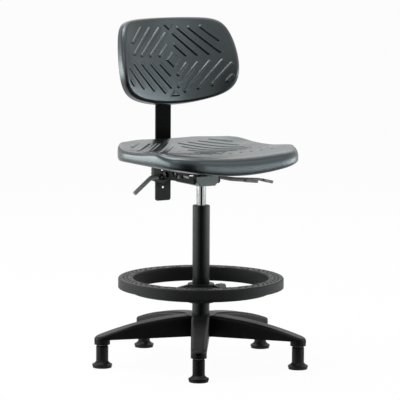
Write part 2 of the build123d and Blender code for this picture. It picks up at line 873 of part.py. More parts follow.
def lever_paddle(name, route, start, length):
    """Moulded finger paddle driven onto the last straight run of a lever rod."""
    run = (route[-1] - route[-2]).normalized()
    root = route[-2] + run * start
    bore_plane = Plane(root, z_dir=run)
    flat = Plane(root, x_dir=run, z_dir=run.cross(Vector(0, 1, 0)))
    with BuildPart() as paddle:
        with BuildSketch(flat.offset(-paddle_thickness / 2)):
            with Locations((length / 2, 0)):
                RectangleRounded(length, paddle_width, paddle_width / 4)
        extrude(amount=paddle_thickness)
        fillet(paddle.faces().filter_by(flat).edges(), paddle_thickness / 4)
        with BuildSketch(bore_plane):
            Circle(lever_rod_radius + press_gap)
        extrude(amount=(route[-1] - root).length + press_gap, mode=Mode.SUBTRACT)
    paddle.part.label = name
    export_step(paddle.part, f"parts/{name}.step")


lever_rod("height_lever_rod", height_route, height_lever_y, True)
lever_paddle("height_lever_paddle", height_route, height_paddle_start, height_paddle_length)
lever_rod("tilt_lever_rod", tilt_route, tilt_lever_y, False)
lever_paddle("tilt_lever_paddle", tilt_route, tilt_paddle_start, tilt_paddle_length)

# Seat plate: folded flanges straddle the housing and carry both pivots
plate_bottom = plate_top - plate_thickness
flange_in = housing_half + flange_gap
flange_out = flange_in + plate_thickness
flange_low = flange_bottom + plate_thickness

with BuildPart() as seat_plate:
    with BuildSketch(Plane.XY.offset(plate_bottom)):
        with Locations((0, (plate_front + plate_rear) / 2)):
            RectangleRounded(2 * plate_half_width, plate_rear - plate_front, plate_corner)
    extrude(amount=plate_thickness)
    for side in (1, -1):
        with BuildSketch(Plane.YZ.offset(side * (flange_in + flange_out) / 2)):
            Polygon(
                (flange_front, plate_bottom + plate_thickness / 2),
                (flange_front, flange_low),
                (flange_front + plate_thickness, flange_bottom),
                (back_pin_y, back_pin_z - pivot_eye),
                (back_pin_y, plate_bottom + plate_thickness / 2),
                align=None,
            )
            with Locations((back_pin_y, back_pin_z)):
                Circle(pivot_eye)
        extrude(amount=plate_thickness / 2, both=True)
    with BuildSketch(Plane.YZ.offset(-flange_out)):
        with Locations((tilt_pin_y, tilt_pin_z)):
            Circle(tilt_pin_radius + running_gap)
        with Locations((back_pin_y, back_pin_z)):
            Circle(back_pin_radius + press_gap)
    extrude(amount=2 * flange_out, mode=Mode.SUBTRACT)
    with BuildSketch(Plane.YZ.offset(flange_in)):
        for slot_y in lever_places:
            with Locations((slot_y, plate_bottom - plate_thickness)):
                Rectangle(flange_slot_width, flange_slot_depth, align=(Align.CENTER, Align.MAX))
    extrude(amount=plate_thickness, mode=Mode.SUBTRACT)
    with BuildSketch(Plane.YZ.offset(-flange_out)):
        window_z = (flange_bottom + plate_bottom) / 2
        window_half = (plate_bottom - flange_bottom) / 2 - flange_border
        for window_y, up in window_places:
            Polygon(
                (window_y + window_width / 2, window_z + up * window_half),
                (window_y - window_width / 2, window_z + up * window_half),
                (window_y, window_z - up * window_half),
                align=None,
            )
        with Locations((rail_slot_y, window_z)):
            SlotOverall(rail_slot_length, rail_slot_width)
    extrude(amount=plate_thickness, mode=Mode.SUBTRACT)
    with BuildSketch(Plane.XY.offset(plate_bottom)):
        for bolt_x in (seat_bolt_x, -seat_bolt_x):
            for bolt_y in (seat_bolt_front, seat_bolt_rear):
                with Locations((bolt_x, bolt_y)):
                    Circle(bolt_radius + press_gap)
    extrude(amount=plate_thickness, mode=Mode.SUBTRACT)
seat_plate.part.label = "seat_plate"
export_step(seat_plate.part, "parts/seat_plate.step")

# Tilt pin, riveted through the housing, and the back pivot pin with its caps
with BuildPart() as tilt_pin:
    with BuildSketch(Plane.YZ.offset(-flange_out - slide_gap)):
        with Locations((tilt_pin_y, tilt_pin_z)):
            Circle(tilt_pin_radius)
    extrude(amount=2 * (flange_out + slide_gap))
    for side in (1, -1):
        with BuildSketch(Plane.YZ.offset(side * (flange_out + slide_gap))):
            with Locations((tilt_pin_y, tilt_pin_z)):
                Circle(tilt_head_radius)
        extrude(amount=side * plate_thickness)
tilt_pin.part.label = "tilt_pin"
export_step(tilt_pin.part, "parts/tilt_pin.step")

cap_out = flange_out + pivot_cap_length
with BuildPart() as back_pivot_pin:
    with BuildSketch(Plane.YZ.offset(-cap_out + plate_thickness)):
        with Locations((back_pin_y, back_pin_z)):
            Circle(back_pin_radius)
    extrude(amount=2 * (cap_out - plate_thickness))
back_pivot_pin.part.label = "back_pivot_pin"
export_step(back_pivot_pin.part, "parts/back_pivot_pin.step")

with BuildPart() as pivot_caps:
    for side in (1, -1):
        cap_plane = Plane.YZ.offset(side * flange_out)
        with BuildSketch(cap_plane):
            with Locations((back_pin_y, back_pin_z)):
                Circle(pivot_cap_radius)
        extrude(amount=side * pivot_cap_length)
        with BuildSketch(cap_plane):
            with Locations((back_pin_y, back_pin_z)):
                Circle(back_pin_radius + press_gap)
        extrude(amount=side * (pivot_cap_length - plate_thickness), mode=Mode.SUBTRACT)
    for end in (0, -1):
        rim = pivot_caps.faces().sort_by(Axis.X)[end].edges()
        fillet(rim, pivot_cap_radius / 5)
pivot_caps.part.label = "pivot_caps"
export_step(pivot_caps.part, "parts/pivot_caps.step")

# Back bracket: two ears on the pivot, a rear plate, and lugs for the angle lever
ear_out = flange_in - slide_gap
ear_in = ear_out - bracket_wall
lug_low = back_lever_z - back_lug_half
lug_high = back_lever_z + back_lug_half
lug_out = back_lever_x - back_lug_half
lug_room = lever_eye_width + 2 * slide_gap

with BuildPart() as back_bracket:
    for side in (1, -1):
        with BuildSketch(Plane.YZ.offset(side * (ear_in + ear_out) / 2)):
            Polygon(
                (back_pin_y, back_pin_z + pivot_eye),
                (back_pin_y, back_pin_z - pivot_eye),
                (back_lever_y, bracket_bottom),
                (bracket_rear, bracket_bottom),
                (bracket_rear, bracket_top),
                align=None,
            )
            with Locations((back_pin_y, back_pin_z)):
                Circle(pivot_eye)
        extrude(amount=bracket_wall / 2, both=True)
    with BuildSketch(Plane.XZ.offset(-bracket_rear)):
        with Locations((0, (bracket_bottom + bracket_top) / 2)):
            Rectangle(2 * ear_out, bracket_top - bracket_bottom)
    extrude(amount=bracket_wall)
    for step in (1, -1):
        lug_y = back_lever_y + step * (lug_room + back_lug_wall) / 2
        with BuildSketch(Plane.XZ.offset(-lug_y)):
            with BuildLine():
                Polyline(
                    (back_lever_x, lug_low),
                    (-ear_in - bracket_wall / 2, lug_low),
                    (-ear_in - bracket_wall / 2, lug_high),
                    (back_lever_x, lug_high),
                )
                ThreePointArc((back_lever_x, lug_high), (lug_out, back_lever_z), (back_lever_x, lug_low))
            make_face()
        extrude(amount=back_lug_wall / 2, both=True)
    with BuildSketch(Plane.XZ.offset(-back_lever_y)):
        with Locations((back_lever_x, back_lever_z)):
            Circle(lever_pin_radius + press_gap)
    extrude(amount=lug_room / 2 + back_lug_wall, both=True, mode=Mode.SUBTRACT)
    with BuildSketch(Plane.YZ.offset(-ear_out)):
        with Locations((back_pin_y, back_pin_z)):
            Circle(back_pin_radius + running_gap)
    extrude(amount=2 * ear_out, mode=Mode.SUBTRACT)
    with BuildSketch(Plane.XZ.offset(-bracket_rear)):
        for bolt_x in (guide_bolt_x, -guide_bolt_x):
            with Locations((bolt_x, guide_bolt_z)):
                Circle(bolt_radius + press_gap)
    extrude(amount=bracket_wall, mode=Mode.SUBTRACT)
back_bracket.part.label = "back_bracket"
export_step(back_bracket.part, "parts/back_bracket.step")

# Back angle lever with its moulded grip
back_pivot = Vector(back_lever_x, back_lever_y, back_lever_z)
back_route = [back_pivot] + [back_pivot + Vector(*bend) for bend in back_bends]
grip_start = lever_eye_radius + grip_gap

with BuildPart() as back_lever_pin:
    with BuildSketch(Plane.XZ.offset(-back_lever_y)):
        with Locations((back_lever_x, back_lever_z)):
            Circle(lever_pin_radius)
    extrude(amount=lug_room / 2 + back_lug_wall, both=True)
back_lever_pin.part.label = "back_lever_pin"
export_step(back_lever_pin.part, "parts/back_lever_pin.step")

with BuildPart() as back_lever_rod:
    with BuildLine() as back_path:
        FilletPolyline(*back_route, radius=lever_bend)
    with BuildSketch(Plane(back_path.line @ 0, z_dir=back_path.line % 0)):
        Circle(lever_rod_radius)
    sweep(path=back_path.line)
    with BuildSketch(Plane.XZ.offset(-back_lever_y)):
        with Locations((back_lever_x, back_lever_z)):
            Circle(lever_eye_radius)
    extrude(amount=lever_eye_width / 2, both=True)
    with BuildSketch(Plane.XZ.offset(-back_lever_y)):
        with Locations((back_lever_x, back_lever_z)):
            Circle(lever_pin_radius + running_gap)
    extrude(amount=lever_eye_width / 2, both=True, mode=Mode.SUBTRACT)
back_lever_rod.part.label = "back_lever_rod"
export_step(back_lever_rod.part, "parts/back_lever_rod.step")

first_run = (back_route[1] - back_route[0]).normalized()
last_run = (back_route[2] - back_route[1]).normalized()
with BuildPart() as back_lever_grip:
    with BuildLine() as grip_path:
        FilletPolyline(
            back_route[0] + first_run * grip_start,
            back_route[1],
            back_route[2] + last_run * grip_overhang,
            radius=lever_bend,
        )
    with BuildSketch(Plane(grip_path.line @ 0, z_dir=first_run)):
        Circle(grip_radius)
    sweep(path=grip_path.line)
    grip_axis = Axis(back_route[2], last_run)
    fillet(back_lever_grip.faces().sort_by(grip_axis)[-1].edges(), grip_radius / 2)
    with BuildLine() as bore_path:
        FilletPolyline(*back_route, radius=lever_bend)
    with BuildSketch(Plane(bore_path.line @ 0, z_dir=first_run)):
        Circle(lever_rod_radius + press_gap)
    sweep(path=bore_path.line, mode=Mode.SUBTRACT)
back_lever_grip.part.label = "back_lever_grip"
export_step(back_lever_grip.part, "parts/back_lever_grip.step")

# Upright guide: nylon sleeve bolted to the bracket, and its clamp knob
upright_front = upright_y - upright_thickness / 2
upright_back = upright_y + upright_thickness / 2
guide_rear = upright_back + slide_gap + guide_rear_wall

with BuildPart() as upright_guide:
    with BuildSketch(Plane.XY.offset(bracket_bottom)):
        with Locations((0, (bracket_rear + guide_rear) / 2)):
            RectangleRounded(2 * guide_half, guide_rear - bracket_rear, guide_rear_wall / 3)
        with Locations((0, upright_y)):
            Rectangle(upright_width + 2 * slide_gap, upright_thickness + 2 * slide_gap, mode=Mode.SUBTRACT)
    extrude(amount=guide_top - bracket_bottom)
    with BuildSketch(Plane.XZ.offset(-guide_rear)):
        with Locations((0, back_knob_z)):
            Circle(back_stud_radius + running_gap)
    extrude(amount=guide_rear_wall, mode=Mode.SUBTRACT)
    with BuildSketch(Plane.XZ.offset(-upright_front)):
        for bolt_x in (guide_bolt_x, -guide_bolt_x):
            with Locations((bolt_x, guide_bolt_z)):
                Circle(bolt_radius + press_gap)
    extrude(amount=upright_front - bracket_rear, mode=Mode.SUBTRACT)
upright_guide.part.label = "upright_guide"
export_step(upright_guide.part, "parts/upright_guide.step")

guide_bolt_end = upright_front - slide_gap - bearing_gap
with BuildPart() as guide_bolts:
    for bolt_x in (guide_bolt_x, -guide_bolt_x):
        with BuildSketch(Plane.XZ.offset(-guide_bolt_end)):
            with Locations((bolt_x, guide_bolt_z)):
                Circle(bolt_radius)
        extrude(amount=guide_bolt_end - bracket_rear + bracket_wall)
        with BuildSketch(Plane.XZ.offset(-bracket_rear + bracket_wall)):
            with Locations((bolt_x, guide_bolt_z)):
                RegularPolygon(bolt_head_radius, 6)
        extrude(amount=bolt_head)
guide_bolts.part.label = "guide_bolts"
export_step(guide_bolts.part, "parts/guide_bolts.step")

knob_plane = Plane((0, upright_back + bearing_gap, back_knob_z), x_dir=(1, 0, 0), z_dir=(0, 1, 0))
knob_start = guide_rear + back_knob_gap - upright_back - bearing_gap
with BuildPart() as back_knob:
    add(lobed_knob(knob_plane, back_knob_radius, knob_start, back_knob_length))
    with BuildSketch(knob_plane):
        Circle(back_stud_radius)
    extrude(amount=knob_start)
back_knob.part.label = "back_knob"
export_step(back_knob.part, "parts/back_knob.step")

# Upright: flat steel bar, bent back behind the rest
lean = math.radians(back_tilt)
up_back = Vector(0, math.sin(lean), math.cos(lean))
to_front = Vector(0, -math.cos(lean), math.sin(lean))
bend_point = Vector(0, upright_y, upright_bend_z)
rest_point = bend_point + up_back * back_centre
bar_face = Plane(rest_point + to_front * (upright_thickness / 2), x_dir=(1, 0, 0), z_dir=to_front)
bolt_heights = [
    (index - (back_bolt_count - 1) / 2) * back_bolt_pitch + (back_boss_low + back_boss_high) / 2
    for index in range(back_bolt_count)
]

with BuildPart() as upright:
    with BuildLine() as bar_path:
        FilletPolyline(
            (0, upright_y, upright_bottom),
            bend_point,
            bend_point + up_back * upright_tip,
            radius=upright_bend_radius,
        )
    with BuildSketch(Plane.XY.offset(upright_bottom)):
        with Locations((0, upright_y)):
            Rectangle(upright_width, upright_thickness)
    sweep(path=bar_path.line)
    ends = upright.edges().filter_by(lambda e: abs(e.length - upright_thickness) < 0.01)
    fillet(ends, upright_corner)
    with BuildSketch(Plane.XZ.offset(-upright_y)):
        with Locations((0, upright_hole_z)):
            Circle(upright_hole_radius)
    extrude(amount=upright_thickness, both=True, mode=Mode.SUBTRACT)
    with BuildSketch(bar_face):
        for bolt_h in bolt_heights:
            with Locations((0, bolt_h)):
                Circle(back_bolt_radius + press_gap)
    extrude(amount=-upright_thickness, mode=Mode.SUBTRACT)
upright.part.label = "upright"
export_step(upright.part, "parts/upright.step")

# Backrest pad: outline, rounded rear and a saddle front cut by a turned spool
pad_front = bar_face.offset(back_reach)
spool_axis_origin = pad_front.origin + to_front * back_hollow
spool_axis = Axis(spool_axis_origin, up_back)
spool_plane = Plane(spool_axis_origin, x_dir=to_front * -1, z_dir=(1, 0, 0))
spool_half = 2 * back_top
spool_rise = arc_drop(back_swell, spool_half)


def front_spool(skin):
    """Turned body that fills the hollow in front of the rest, thinned by a skin."""
    waist = back_hollow - skin
    with BuildPart() as spool:
        with BuildSketch(spool_plane):
            with BuildLine():
                ThreePointArc(
                    (waist + spool_rise, -spool_half),
                    (waist, 0),
                    (waist + spool_rise, spool_half),
                )
                Polyline(
                    (waist + spool_rise, spool_half),
                    (0, spool_half),
                    (0, -spool_half),
                    (waist + spool_rise, -spool_half),
                )
            make_face()
        revolve(axis=spool_axis)
    return spool.part


rear_centre = pad_front.origin - to_front * (back_thickness - back_rear_radius)
rear_plane = Plane(rear_centre - up_back * spool_half, x_dir=(1, 0, 0), z_dir=up_back)
board_plane = bar_face.offset(back_board_depth)
back_bolt_end = back_board_depth + back_board_thickness

with BuildPart() as back_board:
    with BuildSketch(board_plane):
        with Locations((0, (back_board_low + back_board_high) / 2)):
            RectangleRounded(2 * back_board_half, back_board_high - back_board_low, plate_corner)
        for bolt_h in bolt_heights:
            with Locations((0, bolt_h)):
                Circle(insert_radius + press_gap, mode=Mode.SUBTRACT)
    extrude(amount=back_board_thickness)
back_board.part.label = "back_board"
export_step(back_board.part, "parts/back_board.step")

with BuildPart() as back_inserts:
    with BuildSketch(board_plane):
        for bolt_h in bolt_heights:
            with Locations((0, bolt_h)):
                Circle(insert_radius)
                Circle(back_bolt_radius + press_gap, mode=Mode.SUBTRACT)
    extrude(amount=back_board_thickness)
back_inserts.part.label = "back_inserts"
export_step(back_inserts.part, "parts/back_inserts.step")

with BuildPart() as back_ribs:
    with BuildSketch(pad_front):
        back_bar_sides = (back_bar_side_high, back_bar_side_low)
        for start, end in diamond_bars(*back_bar_sides, back_bar_high, back_bar_low, back_bar_chin):
            run = end - start
            with Locations(Location((start + end) / 2, math.degrees(math.atan2(run.Y, run.X)))):
                SlotCenterToCenter(run.length, bar_width)
        Polygon(
            (0, diamond_half),
            (-diamond_half, 0),
            (0, -diamond_half),
            (diamond_half, 0),
            align=None,
        )
        for up in (1, -1):
            base = up * triangle_base
            point = up * (triangle_base - triangle_height)
            Polygon((-triangle_half, base), (triangle_half, base), (0, point), align=None)
    extrude(amount=2 * back_thickness, both=True)
    add(front_spool(-bar_height), mode=Mode.INTERSECT)
    add(front_spool(bar_height), mode=Mode.SUBTRACT)

with BuildPart() as back_pad:
    with BuildSketch(pad_front) as outline:
        with BuildLine():
            top_corner = (back_top_corner_x, back_top_corner)
            low_corner = (back_low_corner_x, back_low_corner)
            top_left = (-back_top_corner_x, back_top_corner)
            low_left = (-back_low_corner_x, back_low_corner)
            ThreePointArc(top_left, (0, back_top), top_corner)
            ThreePointArc(top_corner, (back_waist, back_waist_h), low_corner)
            ThreePointArc(low_corner, (0, back_bottom), low_left)
            ThreePointArc(low_left, (-back_waist, back_waist_h), top_left)
        make_face()
        fillet(outline.vertices().group_by(Axis.Y)[-1], back_top_round)
        fillet(outline.vertices().group_by(Axis.Y)[0], back_low_round)
    extrude(amount=2 * back_thickness, both=True)
    with BuildSketch(rear_plane):
        Circle(back_rear_radius)
    extrude(amount=2 * spool_half, mode=Mode.INTERSECT)
    add(front_spool(0), mode=Mode.SUBTRACT)
    fillet(back_pad.faces().filter_by(GeomType.TORUS).edges(), back_front_round)
    rear_face = back_pad.faces().filter_by(GeomType.CYLINDER).sort_by(SortBy.AREA)[-1]
    fillet(rear_face.edges(), back_rear_round)
    with BuildSketch(bar_face):
        with Locations((0, (back_boss_low + back_boss_high) / 2)):
            RectangleRounded(2 * back_boss_half, back_boss_high - back_boss_low, back_boss_round)
    extrude(amount=back_reach - back_thickness / 2, taper=-back_boss_draft)
    add(back_ribs.part)
    with BuildSketch(bar_face):
        for bolt_h in bolt_heights:
            with Locations((0, bolt_h)):
                Circle(back_bolt_radius + press_gap)
    extrude(amount=back_bolt_end, mode=Mode.SUBTRACT)
    with BuildSketch(board_plane):
        with Locations((0, (back_board_low + back_board_high) / 2)):
            RectangleRounded(2 * back_board_half, back_board_high - back_board_low, plate_corner)
    extrude(amount=back_board_thickness, mode=Mode.SUBTRACT)
back_pad.part.label = "back_pad"
export_step(back_pad.part, "parts/back_pad.step")

# Bolts and washers that hold the rest to the bar
bolt_seat = bar_face.offset(-upright_thickness)
with BuildPart() as back_washers:
    with BuildSketch(bolt_seat):
        for bolt_h in bolt_heights:
            with Locations((0, bolt_h)):
                Circle(back_washer_radius)
                Circle(back_bolt_radius + press_gap, mode=Mode.SUBTRACT)
    extrude(amount=-washer_thickness)
back_washers.part.label = "back_washers"
export_step(back_washers.part, "parts/back_washers.step")

with BuildPart() as back_bolts:
    for bolt_h in bolt_heights:
        with BuildSketch(bolt_seat.offset(-washer_thickness)):
            with Locations((0, bolt_h)):
                Circle(back_bolt_radius)
        extrude(amount=washer_thickness + upright_thickness + back_bolt_end - press_gap)
        with BuildSketch(bolt_seat.offset(-washer_thickness)):
            with Locations((0, bolt_h)):
                RegularPolygon(back_bolt_head_radius, 6)
        extrude(amount=-back_bolt_head)
back_bolts.part.label = "back_bolts"
export_step(back_bolts.part, "parts/back_bolts.step")

# Seat pad: a lofted saddle trimmed to the plan outline, with raised bars on top
slab_half = seat_half + seat_spare
under_radius = ((slab_half - seat_flat_half) ** 2 + seat_edge_rise ** 2) / (2 * seat_edge_rise)
under_middle = (slab_half + seat_flat_half) / 2
under_middle_rise = arc_drop(under_radius, under_middle - seat_flat_half)


def seat_slab(lift):
    """Untrimmed seat body through the cross-sections, its top raised by a lift."""
    with BuildPart() as slab:
        for station_y, middle, dish, stand_off in seat_stations:
            crown = plate_top + middle + lift
            rim = crown + dish
            under = plate_top + stand_off
            under_edge = under + seat_edge_rise
            with BuildSketch(Plane.XZ.offset(-station_y)):
                with BuildLine():
                    ThreePointArc((-slab_half, rim), (0, crown), (slab_half, rim))
                    Line((slab_half, rim), (slab_half, under_edge))
                    ThreePointArc(
                        (slab_half, under_edge),
                        (under_middle, under + under_middle_rise),
                        (seat_flat_half, under),
                    )
                    Line((seat_flat_half, under), (-seat_flat_half, under))
                    ThreePointArc(
                        (-seat_flat_half, under),
                        (-under_middle, under + under_middle_rise),
                        (-slab_half, under_edge),
                    )
                    Line((-slab_half, under_edge), (-slab_half, rim))
                make_face()
        loft()
    return slab.part


seat_bolt_spots = [(x, y) for x in (-seat_bolt_x, seat_bolt_x) for y in (seat_bolt_front, seat_bolt_rear)]
seat_board_bottom = plate_top + seat_board_lift
seat_board_plane = Plane.XY.offset(seat_board_bottom)
seat_board_middle = (0, (seat_board_front + seat_board_rear) / 2)
seat_board_depth = seat_board_rear - seat_board_front

with BuildPart() as seat_board:
    with BuildSketch(seat_board_plane):
        with Locations(seat_board_middle):
            RectangleRounded(2 * seat_board_half, seat_board_depth, plate_corner)
        with Locations(*seat_bolt_spots):
            Circle(insert_radius + press_gap, mode=Mode.SUBTRACT)
    extrude(amount=seat_board_thickness)
seat_board.part.label = "seat_board"
export_step(seat_board.part, "parts/seat_board.step")

with BuildPart() as seat_inserts:
    with BuildSketch(seat_board_plane):
        with Locations(*seat_bolt_spots):
            Circle(insert_radius)
            Circle(bolt_radius + press_gap, mode=Mode.SUBTRACT)
    extrude(amount=seat_board_thickness)
seat_inserts.part.label = "seat_inserts"
export_step(seat_inserts.part, "parts/seat_inserts.step")

with BuildPart() as seat_bolts:
    for spot in seat_bolt_spots:
        with BuildSketch(Plane.XY.offset(plate_bottom)):
            with Locations(spot):
                Circle(bolt_radius)
        extrude(amount=plate_thickness + seat_board_lift + seat_board_thickness)
        with BuildSketch(Plane.XY.offset(plate_bottom)):
            with Locations(spot):
                RegularPolygon(bolt_head_radius, 6)
        extrude(amount=-bolt_head)
seat_bolts.part.label = "seat_bolts"
export_step(seat_bolts.part, "parts/seat_bolts.step")

with BuildPart() as seat_ribs:
    with BuildSketch(Plane.XY.offset(plate_top)):
        for start, end in diamond_bars(seat_bar_side, seat_bar_side, seat_bar_rear, seat_bar_front):
            run = end - start
            middle = (start + end) / 2 + Vector(0, seat_bar_middle)
            with Locations(Location(middle, math.degrees(math.atan2(run.Y, run.X)))):
                SlotCenterToCenter(run.length, bar_width)
        with Locations((0, seat_bar_middle)):
            Polygon(
                (0, diamond_half),
                (-diamond_half, 0),
                (0, -diamond_half),
                (diamond_half, 0),
                align=None,
            )
    extrude(amount=4 * seat_edge_rise)
    add(seat_slab(bar_height), mode=Mode.INTERSECT)
    with BuildSketch(Plane.XY.offset(plate_top)):
        Rectangle(2 * slab_half, 2 * slab_half)
    extrude(amount=seat_edge_rise, mode=Mode.SUBTRACT)

with BuildPart() as seat_pad:
    add(seat_slab(0))
    with BuildSketch(Plane.XY.offset(plate_top)) as plan:
        with BuildLine():
            front_side = seat_front + seat_front_bow
            ThreePointArc((-seat_half, front_side), (0, seat_front), (seat_half, front_side))
            Polyline(
                (seat_half, front_side),
                (seat_half, seat_rear),
                (-seat_half, seat_rear),
                (-seat_half, front_side),
            )
        make_face()
        fillet(plan.vertices().group_by(Axis.Y)[0], seat_front_corner)
        fillet(plan.vertices().group_by(Axis.Y)[-1], seat_rear_corner)
    extrude(amount=4 * seat_edge_rise, mode=Mode.INTERSECT)
    fillet(seat_pad.faces().sort_by(SortBy.AREA)[-1].edges(), seat_top_round)
    under = seat_pad.faces().filter_by(lambda face: face.normal_at().Z < -0.5)
    rim_edges = [e for e in under.edges() if sum(e.is_same(o) for f in under for o in f.edges()) == 1]
    fillet(rim_edges, seat_under_round)
    add(seat_ribs.part)
    with BuildSketch(Plane.XY.offset(plate_top)):
        with Locations(*seat_bolt_spots):
            Circle(bolt_radius + press_gap)
    extrude(amount=seat_board_lift, mode=Mode.SUBTRACT)
    with BuildSketch(seat_board_plane):
        with Locations(seat_board_middle):
            RectangleRounded(2 * seat_board_half, seat_board_depth, plate_corner)
    extrude(amount=seat_board_thickness, mode=Mode.SUBTRACT)
seat_pad.part.label = "seat_pad"
export_step(seat_pad.part, "parts/seat_pad.step")
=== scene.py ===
import math

import bmesh
import bpy
import numpy as np
from mathutils import Matrix, Vector


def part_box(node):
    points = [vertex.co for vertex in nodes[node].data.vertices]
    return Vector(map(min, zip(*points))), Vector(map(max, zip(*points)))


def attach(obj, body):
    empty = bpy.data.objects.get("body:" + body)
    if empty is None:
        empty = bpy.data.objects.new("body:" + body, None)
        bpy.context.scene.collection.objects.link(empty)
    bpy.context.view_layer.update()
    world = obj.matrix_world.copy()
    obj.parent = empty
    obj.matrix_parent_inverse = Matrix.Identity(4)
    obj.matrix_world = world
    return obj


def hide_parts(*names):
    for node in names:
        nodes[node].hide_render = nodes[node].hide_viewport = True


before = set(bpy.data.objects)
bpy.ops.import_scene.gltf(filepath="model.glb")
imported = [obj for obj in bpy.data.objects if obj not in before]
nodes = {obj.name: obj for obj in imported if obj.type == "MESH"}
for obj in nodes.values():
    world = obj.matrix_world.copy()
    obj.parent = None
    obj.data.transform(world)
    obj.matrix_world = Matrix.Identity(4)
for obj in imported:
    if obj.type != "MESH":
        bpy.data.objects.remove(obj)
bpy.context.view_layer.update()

# Camera, at the photograph's view
CAMERA_PLACE = (-4.0776, -6.6541, 1.4825)
CAMERA_TURN = 31.4725       # degrees round the column from the chair's front
CAMERA_PITCH = 7.383        # degrees below level
CAMERA_ROLL = 0.263
CAMERA_LENS = 247.36
CAMERA_SENSOR = 36.0
CAMERA_FAR = 100.0          # nothing is drawn past this

# Studio: lamps as name, place, size, watts and colour
SKY_LIGHT = 0.30
FLOOR_HALF = 30.0
FLOOR_GLOW = 0.96
LAMP_AIM = Vector((0.0, 0.0, 0.55))
LAMPS = (
    ("overhead", (-0.2, 0.3, 3.0), (2.4, 2.6), 31.0, (1.0, 1.0, 0.98)),
    ("top_box", (-0.75, 0.35, 3.0), (0.9, 1.7), 34.0, (1.0, 1.0, 1.0)),
    ("key", (-3.0, -1.4, 2.5), (1.2, 1.2), 12.0, (1.0, 1.0, 1.0)),
    ("rear_box", (1.5, 2.6, 2.9), (3.0, 1.9), 25.0, (1.0, 1.0, 1.0)),
    ("left_strip", (-3.1, 1.55, 0.52), (5.0, 0.8), 98.0, (0.95, 1.0, 1.0)),
    ("right_box", (2.9, -1.6, 1.15), (4.6, 1.8), 12.0, (0.90, 0.96, 1.0)),
    ("right_strip", (2.9, -1.6, 0.33), (4.6, 0.36), 46.0, (0.90, 0.96, 1.0)),
    ("front_top_box", (1.8, -2.9, 3.2), (2.6, 1.6), 14.0, (0.95, 1.0, 1.0)),
)
FLAG_TURN = 30.0            # degrees round the column from the chair's front
FLAG_NEAR = 0.25            # where it starts on the floor, from the column
FLAG_FAR = 2.6              # where it stands up
FLAG_WIDTH = 2.0
FLAG_TALL = 1.2
FLAG_LIFT = 0.004

# Raised bars on the seat and back: diamonds inside each other, with limits across above,
# across below, up and down
BAR_FIRST = 0.056
BAR_PITCH = 0.0345
BAR_WIDTH = 0.0125
BAR_SHORTEST = 0.008        # bars that would reach less far across are left out
BAR_AXIS_GAP = 0.013
DIAMOND_HALF = 0.025
TRIANGLE_HALF = 0.018
TRIANGLE_BASE = 0.106
TRIANGLE_HEIGHT = 0.020
FACE_TOLERANCE = 0.0004     # a point this near to a cushion's face counts as on it

# Seat: plan outline, heights over the steel plate, and edges
SEAT_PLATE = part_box("seat_plate")[1].z
SEAT_HALF = 0.230
SEAT_FRONT = -0.232
SEAT_REAR = 0.200
SEAT_FRONT_CORNER = 0.105
SEAT_REAR_CORNER = 0.162
SEAT_BOW = 0.005
# stations from front to rear, each with its crown, its dish and how far it stands off the plate
SEAT_ROWS = (-0.240, -0.205, -0.130, -0.010, 0.070, 0.145, 0.190, 0.235)
SEAT_CROWNS = (0.045, 0.057, 0.062, 0.049, 0.0475, 0.0615, 0.0745, 0.086)
SEAT_DISHES = (0.026, 0.022, 0.0158, 0.0192, 0.0226, 0.0275, 0.010, 0.004)
SEAT_STAND_OFFS = (0.010, 0.0075, 0.002, 0.0, 0.0, 0.004, 0.016, 0.034)
SEAT_DISH_HALF = 0.238      # distance across at which the dish has its full rise
SEAT_UNDER_CURVE = 0.69     # rise over the distance across, squared
SEAT_SIDE_ROUND = 0.009
SEAT_FRONT_ROUND = 0.046
SEAT_ROLL_START = 0.05      # how far the rim faces forward where its roll begins and is full
SEAT_ROLL_FULL = 0.65
SEAT_UNDER_ROUND = 0.019
SEAT_SIDE_WIDEST = 0.45     # share of the edge's height where it bulges most
SEAT_FRONT_WIDEST = 0.28
SEAT_SIDE_SQUARE = 0.66     # 1 for an oval edge, less for a squarer one
SEAT_FRONT_SQUARE = 0.62
SEAT_GROOVE_DEPTH = 0.0028
SEAT_GROOVE_DROP = 0.0035   # under the lip
SEAT_GROOVE_WIDTH = 0.0017
SEAT_BAR_RINGS = 8
SEAT_BAR_LIMITS = (0.168, 0.168, 0.176, 0.110)
SEAT_BAR_MIDDLE = (0.0, -0.022)
SEAT_BAR_HEIGHT = 0.0017
SEAT_BAR_EDGE = 0.0038      # width of a bar's flank

# Backrest, in the plane of the tilted bar: s across, h up, d to the front
BACK_LEAN = math.radians(12.4)
BACK_ORIGIN = Vector((0.0, 0.16035, 0.8628))
BACK_HOLLOW = 0.345         # radius across
BACK_SWELL = 0.600          # radius up and down
BACK_REAR_RADIUS = 0.292
BACK_THICKNESS = 0.052
BACK_REACH = 0.073          # from the front's middle to the boss's rear
BACK_TOP = 0.128
BACK_TOP_CORNER = (0.171, 0.115)
BACK_TOP_ROUND = 0.046
BACK_WAIST = (0.1915, 0.035)
BACK_LOW_CORNER = (0.197, -0.100)
BACK_LOW_ROUND = 0.062
BACK_BOTTOM = -0.1275
BACK_MIDDLE_BAND = 0.05     # half height over which the two roundings meet
BACK_FRONT_ROUND = 0.012
BACK_REAR_ROUND = 0.007
BACK_BOSS_HALF = 0.038
BACK_BOSS_LOW = -0.084
BACK_BOSS_HIGH = 0.042
BACK_BOSS_SLOPE = 0.007
BACK_BAR_RINGS = 6
BACK_BAR_LIMITS = (0.143, 0.169, 0.093, 0.097)
BACK_BAR_CHIN = 0.16        # how fast the lower ends climb to the sides
BACK_BAR_HEIGHT = 0.0042
BACK_BAR_EDGE = 0.0034      # width of a bar's flank

